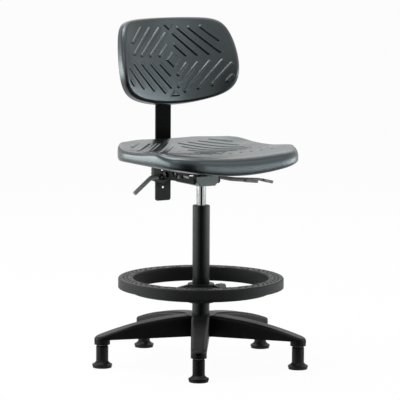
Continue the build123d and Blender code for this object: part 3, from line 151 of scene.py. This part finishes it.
# Foot ring's tread, and the base's glides
RING_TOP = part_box("foot_ring")[1].z
STUD_RADIUS = 0.0034
STUD_TAPER = 0.7
STUD_HEIGHT = 0.0010
STUD_ROWS = (0.2130, 0.2225)
STUD_COUNT = 60
RIB_WIDTH = 0.0026
RIB_HEIGHT = 0.0010
RIB_ROW = 0.2030
RIB_COUNT = 24
RIB_SHARE = 0.55            # of its pitch
GLIDE_COUNT = 5

# Paler marks by height over the floor: scuffs, and the upright paler towards its foot
UPRIGHT_PALER_UNDER = 0.515
PALER_FADE = 0.03
SCUFF_FADE = 0.002

# Fineness of the meshes
AROUND = 288                # points round a cushion
TOP_RINGS = 62              # rings from a cushion's rim to its middle
SEAT_UNDER_RINGS = 16
SEAT_LOW_RINGS = 10         # from the underside to where the edge bulges most
SEAT_HIGH_RINGS = 25        # from there to the lip
BACK_REAR_RINGS = 30
BACK_ROUND_RINGS = 9
BACK_WALL_RINGS = 8
CORNER_MARKS = 25
SIDE_MARKS = 60
END_MARKS = 80
FLANK_CUTS = 2
STUD_SIDES = 8
RIB_STEPS = 5
EASE_REACH = 1.04           # how far averaging spreads for each unit of corner radius
SAME_SPOT = 1e-6
NO_LENGTH = 1e-7


class Wire:
    """A socket that takes part in sums; each sum adds a Math node."""

    def __init__(self, graph, socket):
        self.graph = graph
        self.socket = socket

    def maths(self, operation, *values):
        return self.graph.node("ShaderNodeMath", {"operation": operation}, dict(enumerate(values)))

    def __add__(self, other):
        return self.maths("ADD", self, other)

    def __radd__(self, other):
        return self.maths("ADD", other, self)

    def __sub__(self, other):
        return self.maths("SUBTRACT", self, other)

    def __rsub__(self, other):
        return self.maths("SUBTRACT", other, self)

    def __mul__(self, other):
        return self.maths("MULTIPLY", self, other)

    def __rmul__(self, other):
        return self.maths("MULTIPLY", other, self)

    def __or__(self, other):
        return self.maths("MAXIMUM", self, other)


class Graph:
    """A node tree, whose nodes all come from one method."""

    def __init__(self, tree):
        self.tree = tree

    def node(self, kind, settings=None, inputs=None, output=0):
        made = self.tree.nodes.new(kind)
        for key, value in (settings or {}).items():
            setattr(made, key, value)
        for key, value in (inputs or {}).items():
            if isinstance(value, Wire):
                self.tree.links.new(value.socket, made.inputs[key])
            else:
                made.inputs[key].default_value = value
        return Wire(self, made.outputs[output])

    def seen(self):
        """1 for what the camera sees, straight, mirrored or through glass, and 0 for lighting."""
        kinds = ("Camera", "Glossy", "Transmission")
        straight, mirrored, through = (
            self.node("ShaderNodeLightPath", output=f"Is {kind} Ray") for kind in kinds
        )
        return straight | mirrored | through


class Finish(Graph):
    """One procedural material on a Principled shader."""

    def __init__(self, name, **constants):
        self.material = bpy.data.materials.new(name)
        self.material.use_nodes = True
        super().__init__(self.material.node_tree)
        self.shader = self.tree.nodes["Principled BSDF"]
        for socket, value in constants.items():
            self.shader.inputs[socket.replace("_", " ")].default_value = value

    def place(self, stretch=(1, 1, 1)):
        """Object coordinates, stretched along each axis."""
        spot = self.node("ShaderNodeTexCoord", output="Object")
        return self.node("ShaderNodeMapping", None, {"Vector": spot, "Scale": stretch})

    def height(self):
        """How high a point is over the floor, at rest."""
        return self.node("ShaderNodeSeparateXYZ", None, {"Vector": self.place()}, "Z")

    def upward(self):
        """How far a surface faces up, from -1 to 1."""
        facing = self.node("ShaderNodeNewGeometry", None, None, "Normal")
        return self.node("ShaderNodeSeparateXYZ", None, {"Vector": facing}, "Z")

    def noise(self, scale, detail=3.0, rough=0.5, stretch=(1, 1, 1)):
        sockets = {"Vector": self.place(stretch), "Scale": scale, "Detail": detail, "Roughness": rough}
        return self.node("ShaderNodeTexNoise", None, sockets)

    def cells(self, scale):
        return self.node("ShaderNodeTexVoronoi", None, {"Vector": self.place(), "Scale": scale})

    def ramp(self, value, low, high):
        """A value from 0 at low to 1 at high."""
        sockets = {"Value": value, "From Min": low, "From Max": high}
        return self.node("ShaderNodeMapRange", {"clamp": True}, sockets)

    def blend(self, factor, first, second):
        sockets = {"Factor": factor, 6: first, 7: second}
        return self.node("ShaderNodeMix", {"data_type": "RGBA"}, sockets, 2)

    def attribute(self, name):
        return self.node("ShaderNodeAttribute", {"attribute_name": name}, None, "Fac")

    def use(self, **links):
        for socket, wire in links.items():
            self.tree.links.new(wire.socket, self.shader.inputs[socket.replace("_", " ")])

    def bump(self, height, strength, distance):
        sockets = {"Height": height, "Strength": strength, "Distance": distance}
        self.use(Normal=self.node("ShaderNodeBump", None, sockets))


def grey(value, tint=(1.0, 1.0, 1.0)):
    return (value * tint[0], value * tint[1], value * tint[2], 1.0)


def foam_skin():
    """Charcoal self-skinned polyurethane: satin, with a fine moulded grain, polished on the raised bars."""
    skin = Finish("foam_skin", Specular_IOR_Level=0.75, Specular_Tint=(0.86, 1.0, 1.04, 1.0))
    cool = (0.80, 1.0, 1.10)
    cloud = skin.noise(7.0, 4.0, 0.55)
    grain = skin.noise(900.0, 2.0, 0.6)
    pores = skin.cells(1400.0)
    crest = skin.attribute("crest")
    tone = skin.blend(skin.ramp(cloud, 0.3, 0.7), grey(0.0025, cool), grey(0.0040, cool))
    skin.use(Base_Color=skin.blend(0.3 * crest, tone, grey(0.008, cool)))
    skin.use(Roughness=0.25 + 0.07 * cloud + 0.05 * grain - 0.03 * crest)
    skin.bump(grain + 0.6 * pores, 0.08, 0.0005)
    return skin.material


def moulded_nylon(name, tone, rough, scuffed_over=None):
    """Glass-filled nylon: fine spark-eroded texture, upper faces paler with dust and a painted sheen, shoe
    scuffs over a height.
    """
    nylon = Finish(name, Specular_IOR_Level=0.15)
    cloud = nylon.noise(11.0, 4.0, 0.6)
    texture = nylon.noise(1300.0, 2.0, 0.7)
    scuffs = nylon.ramp(nylon.noise(60.0, 5.0, 0.7), 0.55, 0.80)
    # upper faces paler: partly dust, partly a painted sheen where the tops catch the light
    dust_and_sheen = nylon.ramp(nylon.upward(), 0.5, 1.0)
    base = nylon.blend(cloud, grey(tone * 0.8), grey(tone * 1.2))
    marks = 0.05 * scuffs + 0.05 * dust_and_sheen
    if scuffed_over:
        marks = marks + 0.25 * scuffs * nylon.ramp(nylon.height(), scuffed_over - SCUFF_FADE, scuffed_over)
    nylon.use(Base_Color=nylon.blend(marks, base, grey(0.14)))
    nylon.use(Roughness=rough - 0.05 + 0.10 * cloud + 0.08 * scuffs)
    nylon.bump(texture, 0.10, 0.0004)
    return nylon.material


def powder_coat(name, tone, rough, tint=(1.0, 1.0, 1.0), gloss=0.3, paler_under=None):
    """Powder-coated steel with a light orange-peel surface, paler under a height."""
    coat = Finish(name, Specular_IOR_Level=gloss)
    peel = coat.noise(420.0, 2.0, 0.5)
    cloud = coat.noise(14.0, 3.0, 0.5)
    paint = coat.blend(cloud, grey(tone * 0.85, tint), grey(tone * 1.15, tint))
    if paler_under:
        # paler towards the bottom, under a height, in streaks along the height
        streaks = coat.noise(45.0, 4.0, 0.6, (1, 1, 0.2))
        paler_share = coat.ramp(coat.height(), paler_under, paler_under - PALER_FADE) * (0.6 + 0.6 * streaks)
        paint = coat.blend(paler_share, paint, grey(0.045, tint))
    coat.use(Base_Color=paint)
    coat.use(Roughness=rough - 0.05 + 0.10 * cloud + 0.05 * peel)
    coat.bump(peel, 0.12, 0.0005)
    return coat.material


def turned_steel(name, tone, rough, stretch):
    """Bare or plated steel, with fine streaks along the smallest axis of the stretch."""
    steel = Finish(name, Metallic=1.0)
    streak = steel.noise(260.0, 3.0, 0.6, stretch)
    cloud = steel.noise(18.0, 3.0, 0.5)
    steel.use(Base_Color=steel.blend(cloud, grey(tone * 0.92), grey(tone * 1.04, (1.0, 1.0, 1.01))))
    steel.use(Roughness=rough + 0.06 * streak + 0.03 * cloud)
    steel.bump(streak, 0.03, 0.0003)
    return steel.material


def sole_rubber():
    """Matt rubber with a fine speckle."""
    rubber = Finish("sole_rubber", Specular_IOR_Level=0.2)
    speckle = rubber.noise(700.0, 3.0, 0.7)
    dust_and_sheen = rubber.ramp(rubber.noise(40.0, 4.0, 0.6), 0.5, 0.8)
    rubber.use(Base_Color=rubber.blend(0.15 * dust_and_sheen, grey(0.010), grey(0.05)))
    rubber.use(Roughness=0.55 + 0.2 * speckle)
    rubber.bump(speckle, 0.2, 0.0004)
    return rubber.material


def plywood():
    """Beech plywood with long grain."""
    board = Finish("plywood")
    grain = board.noise(22.0, 6.0, 0.6, (0.15, 3.0, 3.0))
    board.use(Base_Color=board.blend(grain, (0.42, 0.26, 0.13, 1), (0.66, 0.47, 0.28, 1)))
    board.use(Roughness=0.55 + 0.2 * grain)
    board.bump(grain, 0.1, 0.0005)
    return board.material


def even_loop(marks, count):
    """Points evenly spaced round a closed line of marks."""
    loop = np.concatenate([marks, marks[:1]])
    reach = np.concatenate([[0.0], np.cumsum(np.linalg.norm(np.diff(loop, axis=0), axis=1))])
    even = np.linspace(0.0, reach[-1], count, endpoint=False)
    return np.stack([np.interp(even, reach, loop[:, axis]) for axis in (0, 1)], axis=1)


def outward(rim):
    """Unit normals of an outline that runs anticlockwise."""
    along = np.roll(rim, -1, axis=0) - np.roll(rim, 1, axis=0)
    normals = np.stack([along[:, 1], -along[:, 0]], axis=1)
    return normals / np.linalg.norm(normals, axis=1, keepdims=True)


def rise_between(value, low, high):
    """A soft step from 0 at low to 1 at high."""
    share = np.clip((value - low) / (high - low), 0.0, 1.0)
    return share * share * (3 - 2 * share)


def bar_ends(rings, limits, climb):
    """Both ends of every diagonal bar within the limits, whose lower line climbs to the sides."""
    upper, lower, high, low = limits
    bars = []
    for step in range(rings):
        reach = BAR_FIRST + step * BAR_PITCH
        for up, side_limit, limit, slope in ((1, upper, high, 0.0), (-1, lower, low, climb)):
            near = max(BAR_AXIS_GAP, (reach - limit) / (1 - slope))
            far = min(reach - BAR_AXIS_GAP, side_limit)
            if far - near > BAR_SHORTEST:
                for side in (1, -1):
                    start = (side * near, up * (reach - near))
                    end = (side * far, up * (reach - far))
                    bars.append((np.array(start), np.array(end)))
    return bars


def bar_relief(spots, bars, edge, signs):
    """Height share of the bars, the centre diamond and a triangle for each sign, under each spot."""
    depth = (DIAMOND_HALF - np.abs(spots).sum(axis=1)) / math.sqrt(2)
    for start, end in bars:
        run = end - start
        share = np.clip(((spots - start) @ run) / (run @ run), 0.0, 1.0)
        gap = np.linalg.norm(spots - start - share[:, None] * run, axis=1)
        depth = np.maximum(depth, BAR_WIDTH / 2 - gap)
    slant = TRIANGLE_HEIGHT / math.hypot(TRIANGLE_HALF, TRIANGLE_HEIGHT)
    for up in signs:
        under = TRIANGLE_BASE - up * spots[:, 1]
        half = TRIANGLE_HALF * (1 - under / TRIANGLE_HEIGHT)
        depth = np.maximum(depth, np.minimum(under, (half - np.abs(spots[:, 0])) * slant))
    return rise_between(depth, 0.0, edge)


def closed_skin(rings):
    """A closed bmesh whose rows are the rings, from one pole to the other."""
    rows, count = rings.shape[:2]
    skin = bmesh.new()
    bmesh.ops.create_grid(skin, x_segments=count, y_segments=rows - 1, size=1.0)
    for vert in skin.verts:
        column = round((vert.co.x + 1) / 2 * count) % count
        row = round((vert.co.y + 1) / 2 * (rows - 1))
        vert.co = rings[row, column]
    bmesh.ops.remove_doubles(skin, verts=skin.verts, dist=SAME_SPOT)
    bmesh.ops.dissolve_degenerate(skin, edges=skin.edges, dist=NO_LENGTH)
    bmesh.ops.recalc_face_normals(skin, faces=skin.faces)
    return skin


def raise_bars(skin, surface, relief, height):
    """Cuts the skin finer along the bars' flanks, then lifts the bars out of its face."""

    def shares():
        skin.verts.index_update()
        spots = np.array([vert.co for vert in skin.verts])
        level = surface(spots)
        on_face = np.abs(spots[:, 2] - level) < FACE_TOLERANCE
        return np.where(on_face, relief(spots), 0.0), np.where(on_face, level, spots[:, 2])

    share, _ = shares()
    flanks = set()
    for face in skin.faces:
        levels = [share[vert.index] for vert in face.verts]
        if max(levels) > 0 and min(levels) < 1:
            flanks.update(face.edges)
    bmesh.ops.subdivide_edges(skin, edges=list(flanks), cuts=FLANK_CUTS, use_grid_fill=True)
    share, level = shares()
    crest = skin.verts.layers.float.new("crest")
    for vert, part, low in zip(skin.verts, share, level):
        vert[crest] = part
        vert.co.z = low + height * part


def finished(name, shape):
    """Turns a bmesh into a smooth-shaded object at the origin."""
    for face in shape.faces:
        face.smooth = True
    mesh = bpy.data.meshes.new(name)
    shape.to_mesh(mesh)
    shape.free()
    piece = bpy.data.objects.new(name, mesh)
    bpy.context.scene.collection.objects.link(piece)
    return piece


def smooth_curve(places, values):
    """A smooth line through a few stations."""
    places, values = np.array(places), np.array(values)
    slopes = np.gradient(values, places)

    def at(y):
        spot = np.clip(y, places[0], places[-1])
        index = np.clip(np.searchsorted(places, spot, side="right") - 1, 0, len(places) - 2)
        width = places[index + 1] - places[index]
        t = (spot - places[index]) / width
        first, second = values[index], values[index + 1]
        rise, fall = slopes[index] * width, slopes[index + 1] * width
        return (
            first * (2 * t**3 - 3 * t**2 + 1)
            + rise * (t**3 - 2 * t**2 + t)
            + second * (3 * t**2 - 2 * t**3)
            + fall * (t**3 - t**2)
        )

    return at


seat_crown = smooth_curve(SEAT_ROWS, SEAT_CROWNS)
seat_dish = smooth_curve(SEAT_ROWS, SEAT_DISHES)
seat_stand_off = smooth_curve(SEAT_ROWS, SEAT_STAND_OFFS)


def seat_top(spots):
    """Height of the seat's top over each spot, without its bars."""
    x, y = spots[..., 0], spots[..., 1]
    return SEAT_PLATE + seat_crown(y) + seat_dish(y) * (x / SEAT_DISH_HALF) ** 2


def seat_under(spots):
    """Height of the seat's underside over each spot."""
    lift = np.maximum(seat_stand_off(spots[..., 1]), 0.0)
    return SEAT_PLATE + lift + SEAT_UNDER_CURVE * spots[..., 0] ** 2


def seat_outline():
    """Plan of the seat: round corners, the front bowed a little."""
    front, rear = SEAT_FRONT_CORNER, SEAT_REAR_CORNER
    front_y, rear_y = SEAT_FRONT + SEAT_BOW + front, SEAT_REAR - rear
    corners = (
        (SEAT_HALF - front, front_y, front, -90),
        (SEAT_HALF - rear, rear_y, rear, 0),
        (rear - SEAT_HALF, rear_y, rear, 90),
        (front - SEAT_HALF, front_y, front, 180),
    )
    marks = []
    for x, y, radius, start in corners:
        for angle in np.radians(np.linspace(start, start + 90, CORNER_MARKS)):
            marks.append((x + radius * math.cos(angle), y + radius * math.sin(angle)))
    rim = even_loop(np.array(marks), AROUND)
    ahead = np.clip(-outward(rim)[:, 1], 0.0, 1.0) ** 2
    rim[:, 1] -= SEAT_BOW * ahead * (1 - (rim[:, 0] / SEAT_HALF) ** 2)
    return rim


def ring(spots, heights):
    """Points in the plane, lifted to their heights."""
    return np.concatenate([spots, heights[:, None]], axis=1)


def seat_rings():
    """Rings of the seat from the middle of its underside, over its edge, to the middle of its top."""
    rim = seat_outline()
    out = outward(rim)
    roll = rise_between(-out[:, 1], SEAT_ROLL_START, SEAT_ROLL_FULL)

    def rolled(side, front):
        return side + (front - side) * roll

    edge = rolled(SEAT_SIDE_ROUND, SEAT_FRONT_ROUND)
    middle = np.array([0.0, (SEAT_FRONT + SEAT_REAR) / 2])
    under_rim = rim - out * SEAT_UNDER_ROUND
    top_rim = rim - out * edge[:, None]
    low = seat_under(under_rim)
    high = seat_top(top_rim)
    widest = low + (high - low) * rolled(SEAT_SIDE_WIDEST, SEAT_FRONT_WIDEST)
    square = rolled(SEAT_SIDE_SQUARE, SEAT_FRONT_SQUARE)
    rings = []
    for share in np.linspace(0.0, 1.0, SEAT_UNDER_RINGS)[:-1]:
        spots = middle + (under_rim - middle) * share
        rings.append(ring(spots, seat_under(spots)))
    for angle in np.linspace(0.0, math.pi / 2, SEAT_LOW_RINGS)[:-1]:
        spots = under_rim + out * (SEAT_UNDER_ROUND * math.sin(angle) ** square)[:, None]
        rings.append(ring(spots, widest - (widest - low) * np.cos(angle) ** square))
    for angle in np.linspace(0.0, math.pi / 2, SEAT_HIGH_RINGS):
        heights = widest + (high - widest) * math.sin(angle) ** square
        drop = (high - heights - SEAT_GROOVE_DROP) / SEAT_GROOVE_WIDTH
        groove = SEAT_GROOVE_DEPTH * (1 - roll) * np.exp(-drop**2)
        inset = edge * (1 - np.cos(angle) ** square) + groove
        rings.append(ring(rim - out * inset[:, None], heights))
    for share in np.linspace(1.0, 0.0, TOP_RINGS)[1:]:
        spots = middle + (top_rim - middle) * share
        rings.append(ring(spots, seat_top(spots)))
    return np.array(rings)


def seat_cushion():
    """Moulded seat: bulged sides under a lip, a rolled front, raised bars on top."""
    skin = closed_skin(seat_rings())
    bars = bar_ends(SEAT_BAR_RINGS, SEAT_BAR_LIMITS, 0.0)

    def relief(spots):
        return bar_relief(spots[:, :2] - SEAT_BAR_MIDDLE, bars, SEAT_BAR_EDGE, ())

    raise_bars(skin, seat_top, relief, SEAT_BAR_HEIGHT)
    seat = finished("seat_cushion", skin)
    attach(seat, "seat")
    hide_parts("seat_pad")
    return seat


def back_front(spots):
    """Front face of the rest at each spot, without its bars."""
    s, h = spots[..., 0], spots[..., 1]
    waist = BACK_HOLLOW + BACK_SWELL - np.sqrt(BACK_SWELL**2 - h**2)
    return BACK_HOLLOW - np.sqrt(waist**2 - s**2)


def back_rear(spots):
    """Rear face of the rest at each spot, with the boss that meets the upright."""
    s, h = spots[..., 0], spots[..., 1]
    shell = BACK_REAR_RADIUS - BACK_THICKNESS - np.sqrt(BACK_REAR_RADIUS**2 - s**2)
    across = BACK_BOSS_HALF - np.abs(s)
    up = np.minimum(BACK_BOSS_HIGH - h, h - BACK_BOSS_LOW)
    boss = rise_between(np.minimum(across, up), -BACK_BOSS_SLOPE, 0.0)
    return shell + (-BACK_REACH - shell) * boss


def bowed(start, middle, end, count):
    """Points along the circle through three marks, without the last."""
    a, b, c = (complex(*mark) for mark in (start, middle, end))
    w = (c - a) / (b - a)
    centre = a + (b - a) * (w - abs(w) ** 2) / (2j * w.imag)
    sweep = np.angle((c - centre) / (a - centre))
    spots = centre + (a - centre) * np.exp(1j * sweep * np.linspace(0.0, 1.0, count)[:-1])
    return np.stack([spots.real, spots.imag], axis=1)


def eased(rim, radius):
    """Rounds an outline's corners to about a radius, by averaging neighbours."""
    spacing = np.linalg.norm(rim[1] - rim[0])
    for _ in range(int((EASE_REACH * radius / spacing) ** 2)):
        rim = (np.roll(rim, 1, axis=0) + 2 * rim + np.roll(rim, -1, axis=0)) / 4
    return rim


def back_outline():
    """Outline of the rest: bowed top, waisted sides and a round chin, with its corners eased."""
    top_x, top_h = BACK_TOP_CORNER
    low_x, low_h = BACK_LOW_CORNER
    waist_x, waist_h = BACK_WAIST
    marks = np.concatenate([
        bowed((low_x, low_h), (waist_x, waist_h), (top_x, top_h), SIDE_MARKS),
        bowed((top_x, top_h), (0, BACK_TOP), (-top_x, top_h), END_MARKS),
        bowed((-top_x, top_h), (-waist_x, waist_h), (-low_x, low_h), SIDE_MARKS),
        bowed((-low_x, low_h), (0, BACK_BOTTOM), (low_x, low_h), END_MARKS),
    ])
    rim = even_loop(marks, AROUND)
    share = rise_between(rim[:, 1:], -BACK_MIDDLE_BAND, BACK_MIDDLE_BAND)
    return eased(rim, BACK_LOW_ROUND) * (1 - share) + eased(rim, BACK_TOP_ROUND) * share


def back_rings():
    """Rings of the rest from the middle of its rear, over its edge, to the middle of its front."""
    rim = back_outline()
    out = outward(rim)
    rear_rim = rim - out * BACK_REAR_ROUND
    front_rim = rim - out * BACK_FRONT_ROUND
    rear = back_rear(rear_rim)
    front = back_front(front_rim)
    rings = []
    for share in np.linspace(0.0, 1.0, BACK_REAR_RINGS)[:-1]:
        rings.append(ring(rear_rim * share, back_rear(rear_rim * share)))
    for angle in np.linspace(0.0, math.pi / 2, BACK_ROUND_RINGS):
        spots = rear_rim + out * BACK_REAR_ROUND * math.sin(angle)
        rings.append(ring(spots, rear + BACK_REAR_ROUND * (1 - math.cos(angle))))
    wall = rear + BACK_REAR_ROUND
    for share in np.linspace(0.0, 1.0, BACK_WALL_RINGS)[1:-1]:
        rings.append(ring(rim, wall + (front - BACK_FRONT_ROUND - wall) * share))
    for angle in np.linspace(0.0, math.pi / 2, BACK_ROUND_RINGS):
        spots = front_rim + out * BACK_FRONT_ROUND * math.cos(angle)
        rings.append(ring(spots, front - BACK_FRONT_ROUND * (1 - math.sin(angle))))
    for share in np.linspace(1.0, 0.0, TOP_RINGS)[1:]:
        rings.append(ring(front_rim * share, back_front(front_rim * share)))
    return np.array(rings)


def back_cushion():
    """Moulded backrest: hollow across, swelling up and down, with raised bars."""
    skin = closed_skin(back_rings())
    bars = bar_ends(BACK_BAR_RINGS, BACK_BAR_LIMITS, BACK_BAR_CHIN)

    def relief(spots):
        return bar_relief(spots[:, :2], bars, BACK_BAR_EDGE, (1, -1))

    raise_bars(skin, back_front, relief, BACK_BAR_HEIGHT)
    across = Vector((1.0, 0.0, 0.0))
    up = Vector((0.0, math.sin(BACK_LEAN), math.cos(BACK_LEAN)))
    ahead = Vector((0.0, -math.cos(BACK_LEAN), math.sin(BACK_LEAN)))
    turn = Matrix((across, up, ahead)).transposed().to_4x4()
    bmesh.ops.transform(skin, matrix=Matrix.Translation(BACK_ORIGIN) @ turn, verts=skin.verts)
    back = finished("back_cushion", skin)
    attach(back, "back")
    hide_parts("back_pad")
    return back


def ring_studs():
    """Studs in staggered rows on top of the foot ring."""
    studs = bmesh.new()
    for row, radius in enumerate(STUD_ROWS):
        for index in range(STUD_COUNT):
            angle = (index + 0.5 * (row % 2)) * math.tau / STUD_COUNT
            spot = Matrix.Translation((radius * math.cos(angle), radius * math.sin(angle), RING_TOP))
            bmesh.ops.create_cone(
                studs, cap_ends=True, cap_tris=False, segments=STUD_SIDES, radius1=STUD_RADIUS,
                radius2=STUD_RADIUS * STUD_TAPER, depth=2 * STUD_HEIGHT, matrix=spot,
            )
    piece = finished("ring_studs", studs)
    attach(piece, "foot_ring")
    return piece


def ring_ribs():
    """Short curved ribs near the inner edge of the foot ring's top."""
    ribs = bmesh.new()
    pitch = math.tau / RIB_COUNT
    for index in range(RIB_COUNT):
        place = (
            Matrix.Rotation(index * pitch, 4, "Z")
            @ Matrix.Translation((RIB_ROW, 0, RING_TOP))
            @ Matrix.Rotation(math.pi / 2, 4, "X")
            @ Matrix.Diagonal((RIB_WIDTH, 2 * RIB_HEIGHT, 1, 1))
        )
        verts = bmesh.ops.create_grid(ribs, x_segments=1, y_segments=1, size=0.5, matrix=place)["verts"]
        end = verts[0].link_faces[0]
        bmesh.ops.spin(
            ribs, geom=[end, *end.edges, *end.verts], axis=(0, 0, 1), cent=(0, 0, 0),
            angle=RIB_SHARE * pitch, steps=RIB_STEPS,
        )
    bmesh.ops.recalc_face_normals(ribs, faces=ribs.faces)
    piece = finished("ring_ribs", ribs)
    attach(piece, "foot_ring")
    return piece


def dress(piece, material):
    piece.data.materials.clear()
    piece.data.materials.append(material)


def dress_nodes(material, *names):
    for name in names:
        for slot in nodes[name].material_slots:
            slot.link = "OBJECT"
            slot.material = material


def numbered(stem):
    return [f"{stem}_{number}" for number in range(1, GLIDE_COUNT + 1)]


def dress_chair():
    """Adds the new pieces, and gives them and the CAD nodes their finishes."""
    foam = foam_skin()
    nylon = moulded_nylon("black_nylon", 0.003, 0.40)
    ring_nylon = moulded_nylon("ring_nylon", 0.010, 0.46, RING_TOP)
    grip_nylon = moulded_nylon("grip_nylon", 0.22, 0.46)
    # paler nylon on the ring's ribs: a painted highlight along their edges
    rib_nylon_painted_highlight = moulded_nylon("rib_nylon_painted_highlight", 0.040, 0.40)
    black_coat = powder_coat("black_coat", 0.003, 0.28, gloss=0.26)
    bar_coat = powder_coat("bar_coat", 0.002, 0.45, gloss=0.04, paler_under=UPRIGHT_PALER_UNDER)
    rod_coat = powder_coat("rod_coat", 0.21, 0.36)
    plate_coat = powder_coat("plate_coat", 0.016, 0.60, (0.95, 1.0, 1.0), gloss=0.05)
    housing_coat = powder_coat("housing_coat", 0.16, 0.45, (0.86, 1.0, 0.97))
    chrome = turned_steel("cylinder_chrome", 0.42, 0.05, (1, 1, 0.05))
    steel = turned_steel("plain_steel", 0.42, 0.28, (1, 1, 1))
    rubber = sole_rubber()

    dress(seat_cushion(), foam)
    dress(back_cushion(), foam)
    dress(ring_studs(), rubber)
    dress(ring_ribs(), rib_nylon_painted_highlight)

    dress_nodes(nylon, "base_star", "upright_guide", "column_bush", "bearing_cage", "pivot_caps")
    dress_nodes(nylon, *numbered("glide_body"))
    dress_nodes(ring_nylon, "foot_ring")
    dress_nodes(rubber, *numbered("glide_sole"))
    dress_nodes(
        grip_nylon, "ring_knob", "back_knob", "height_lever_paddle", "tilt_lever_paddle", "back_lever_grip",
    )
    dress_nodes(black_coat, "column_tube")
    dress_nodes(bar_coat, "upright")
    dress_nodes(plate_coat, "seat_plate", "back_bracket", "lever_carrier", "tilt_pin")
    dress_nodes(housing_coat, "mechanism_housing")
    dress_nodes(chrome, "gas_cylinder")
    dress_nodes(plywood(), "seat_board", "back_board")
    dress_nodes(
        rod_coat, "height_lever_rod", "tilt_lever_rod", "back_lever_rod", "back_lever_pin",
        "lever_pin", *numbered("glide_stem"),
    )
    dress_nodes(
        steel, "piston_rod", "rod_clip", "release_pin", "bearing_lower_washer", "bearing_upper_washer",
        "bearing_balls", "column_cone", "back_pivot_pin", "guide_bolts", "back_washers", "back_bolts",
        "seat_bolts", "seat_inserts", "back_inserts", "ring_nut",
    )


def flat_floor():
    panel = bmesh.new()
    bmesh.ops.create_grid(panel, x_segments=1, y_segments=1, size=FLOOR_HALF)
    floor = finished("floor", panel)
    return floor


def standing_flag():
    """Felt that lies on the floor in front of the chair and stands up at its far end."""
    felt = bmesh.new()
    near = [felt.verts.new((side * FLAG_WIDTH / 2, -FLAG_NEAR, FLAG_LIFT)) for side in (-1, 1)]
    edge = felt.edges.new(near)
    for step in ((0, FLAG_NEAR - FLAG_FAR, 0), (0, 0, FLAG_TALL)):
        grown = bmesh.ops.extrude_edge_only(felt, edges=[edge])["geom"]
        edge = next(part for part in grown if isinstance(part, bmesh.types.BMEdge))
        bmesh.ops.translate(felt, vec=step, verts=edge.verts)
    turn = Matrix.Rotation(math.radians(-FLAG_TURN), 3, "Z")
    bmesh.ops.rotate(felt, matrix=turn, verts=felt.verts)
    flag = finished("flag", felt)
    return flag


def face_aim(holder, place):
    """Stands an object at a place, its local -Z towards the chair."""
    holder.location = place
    holder.rotation_euler = (LAMP_AIM - Vector(place)).to_track_quat("-Z", "Y").to_euler()


def studio():
    """Pale floor, white surround, soft lamps, and a dark flag that only reflections show."""
    scene = bpy.context.scene
    dress(flat_floor(), floor_finish())
    scene.world = studio_world()
    flag = standing_flag()
    dress(flag, flag_finish())
    flag.visible_camera = flag.visible_diffuse = flag.visible_shadow = flag.visible_transmission = False
    for name, place, size, power, colour in LAMPS:
        lamp = bpy.data.lights.new(name, "AREA")
        lamp.shape = "RECTANGLE"
        lamp.size, lamp.size_y = size
        lamp.energy = power
        lamp.color = colour
        holder = bpy.data.objects.new(name, lamp)
        face_aim(holder, place)
        holder.visible_camera = False
        scene.collection.objects.link(holder)


def floor_finish():
    """Pale floor that looks white to the camera, keeping the shadow."""
    pale = Finish("pale_floor", Roughness=0.9, Specular_IOR_Level=0.1)
    speckle = pale.noise(3.0, 2.0)
    pale.use(Base_Color=pale.blend(speckle, grey(0.84), grey(0.88)))
    glow = pale.node("ShaderNodeEmission")
    lit = Wire(pale, pale.shader.outputs[0])
    mixed = pale.node("ShaderNodeMixShader", None, {0: FLOOR_GLOW * pale.seen(), 1: lit, 2: glow})
    pale.tree.links.new(mixed.socket, pale.tree.nodes["Material Output"].inputs["Surface"])
    return pale.material


def flag_finish():
    """Black felt."""
    felt = Finish("black_felt", Roughness=1.0, Specular_IOR_Level=0.0)
    felt.use(Base_Color=felt.blend(felt.noise(30.0), grey(0.004), grey(0.010)))
    return felt.material


def studio_world():
    """White where it is seen, dimmer as light on the chair."""
    world = bpy.data.worlds.new("studio")
    world.use_nodes = True
    sky = Graph(world.node_tree)
    background = sky.tree.nodes["Background"]
    background.inputs["Color"].default_value = (1, 1, 1, 1)
    strength = SKY_LIGHT + (1 - SKY_LIGHT) * sky.seen()
    sky.tree.links.new(strength.socket, background.inputs["Strength"])
    return world


def photo_camera():
    lens = bpy.data.cameras.new("camera")
    lens.lens = CAMERA_LENS
    lens.sensor_width = CAMERA_SENSOR
    lens.clip_end = CAMERA_FAR
    holder = bpy.data.objects.new("camera", lens)
    turn = Matrix.Rotation(math.radians(-CAMERA_TURN), 4, "Z")
    pitch = Matrix.Rotation(math.radians(90 - CAMERA_PITCH), 4, "X")
    roll = Matrix.Rotation(math.radians(CAMERA_ROLL), 4, "Z")
    holder.matrix_world = Matrix.Translation(CAMERA_PLACE) @ turn @ pitch @ roll
    bpy.context.scene.collection.objects.link(holder)
    bpy.context.scene.camera = holder


dress_chair()
studio()
photo_camera()
bpy.context.scene.view_settings.view_transform = "Standard"
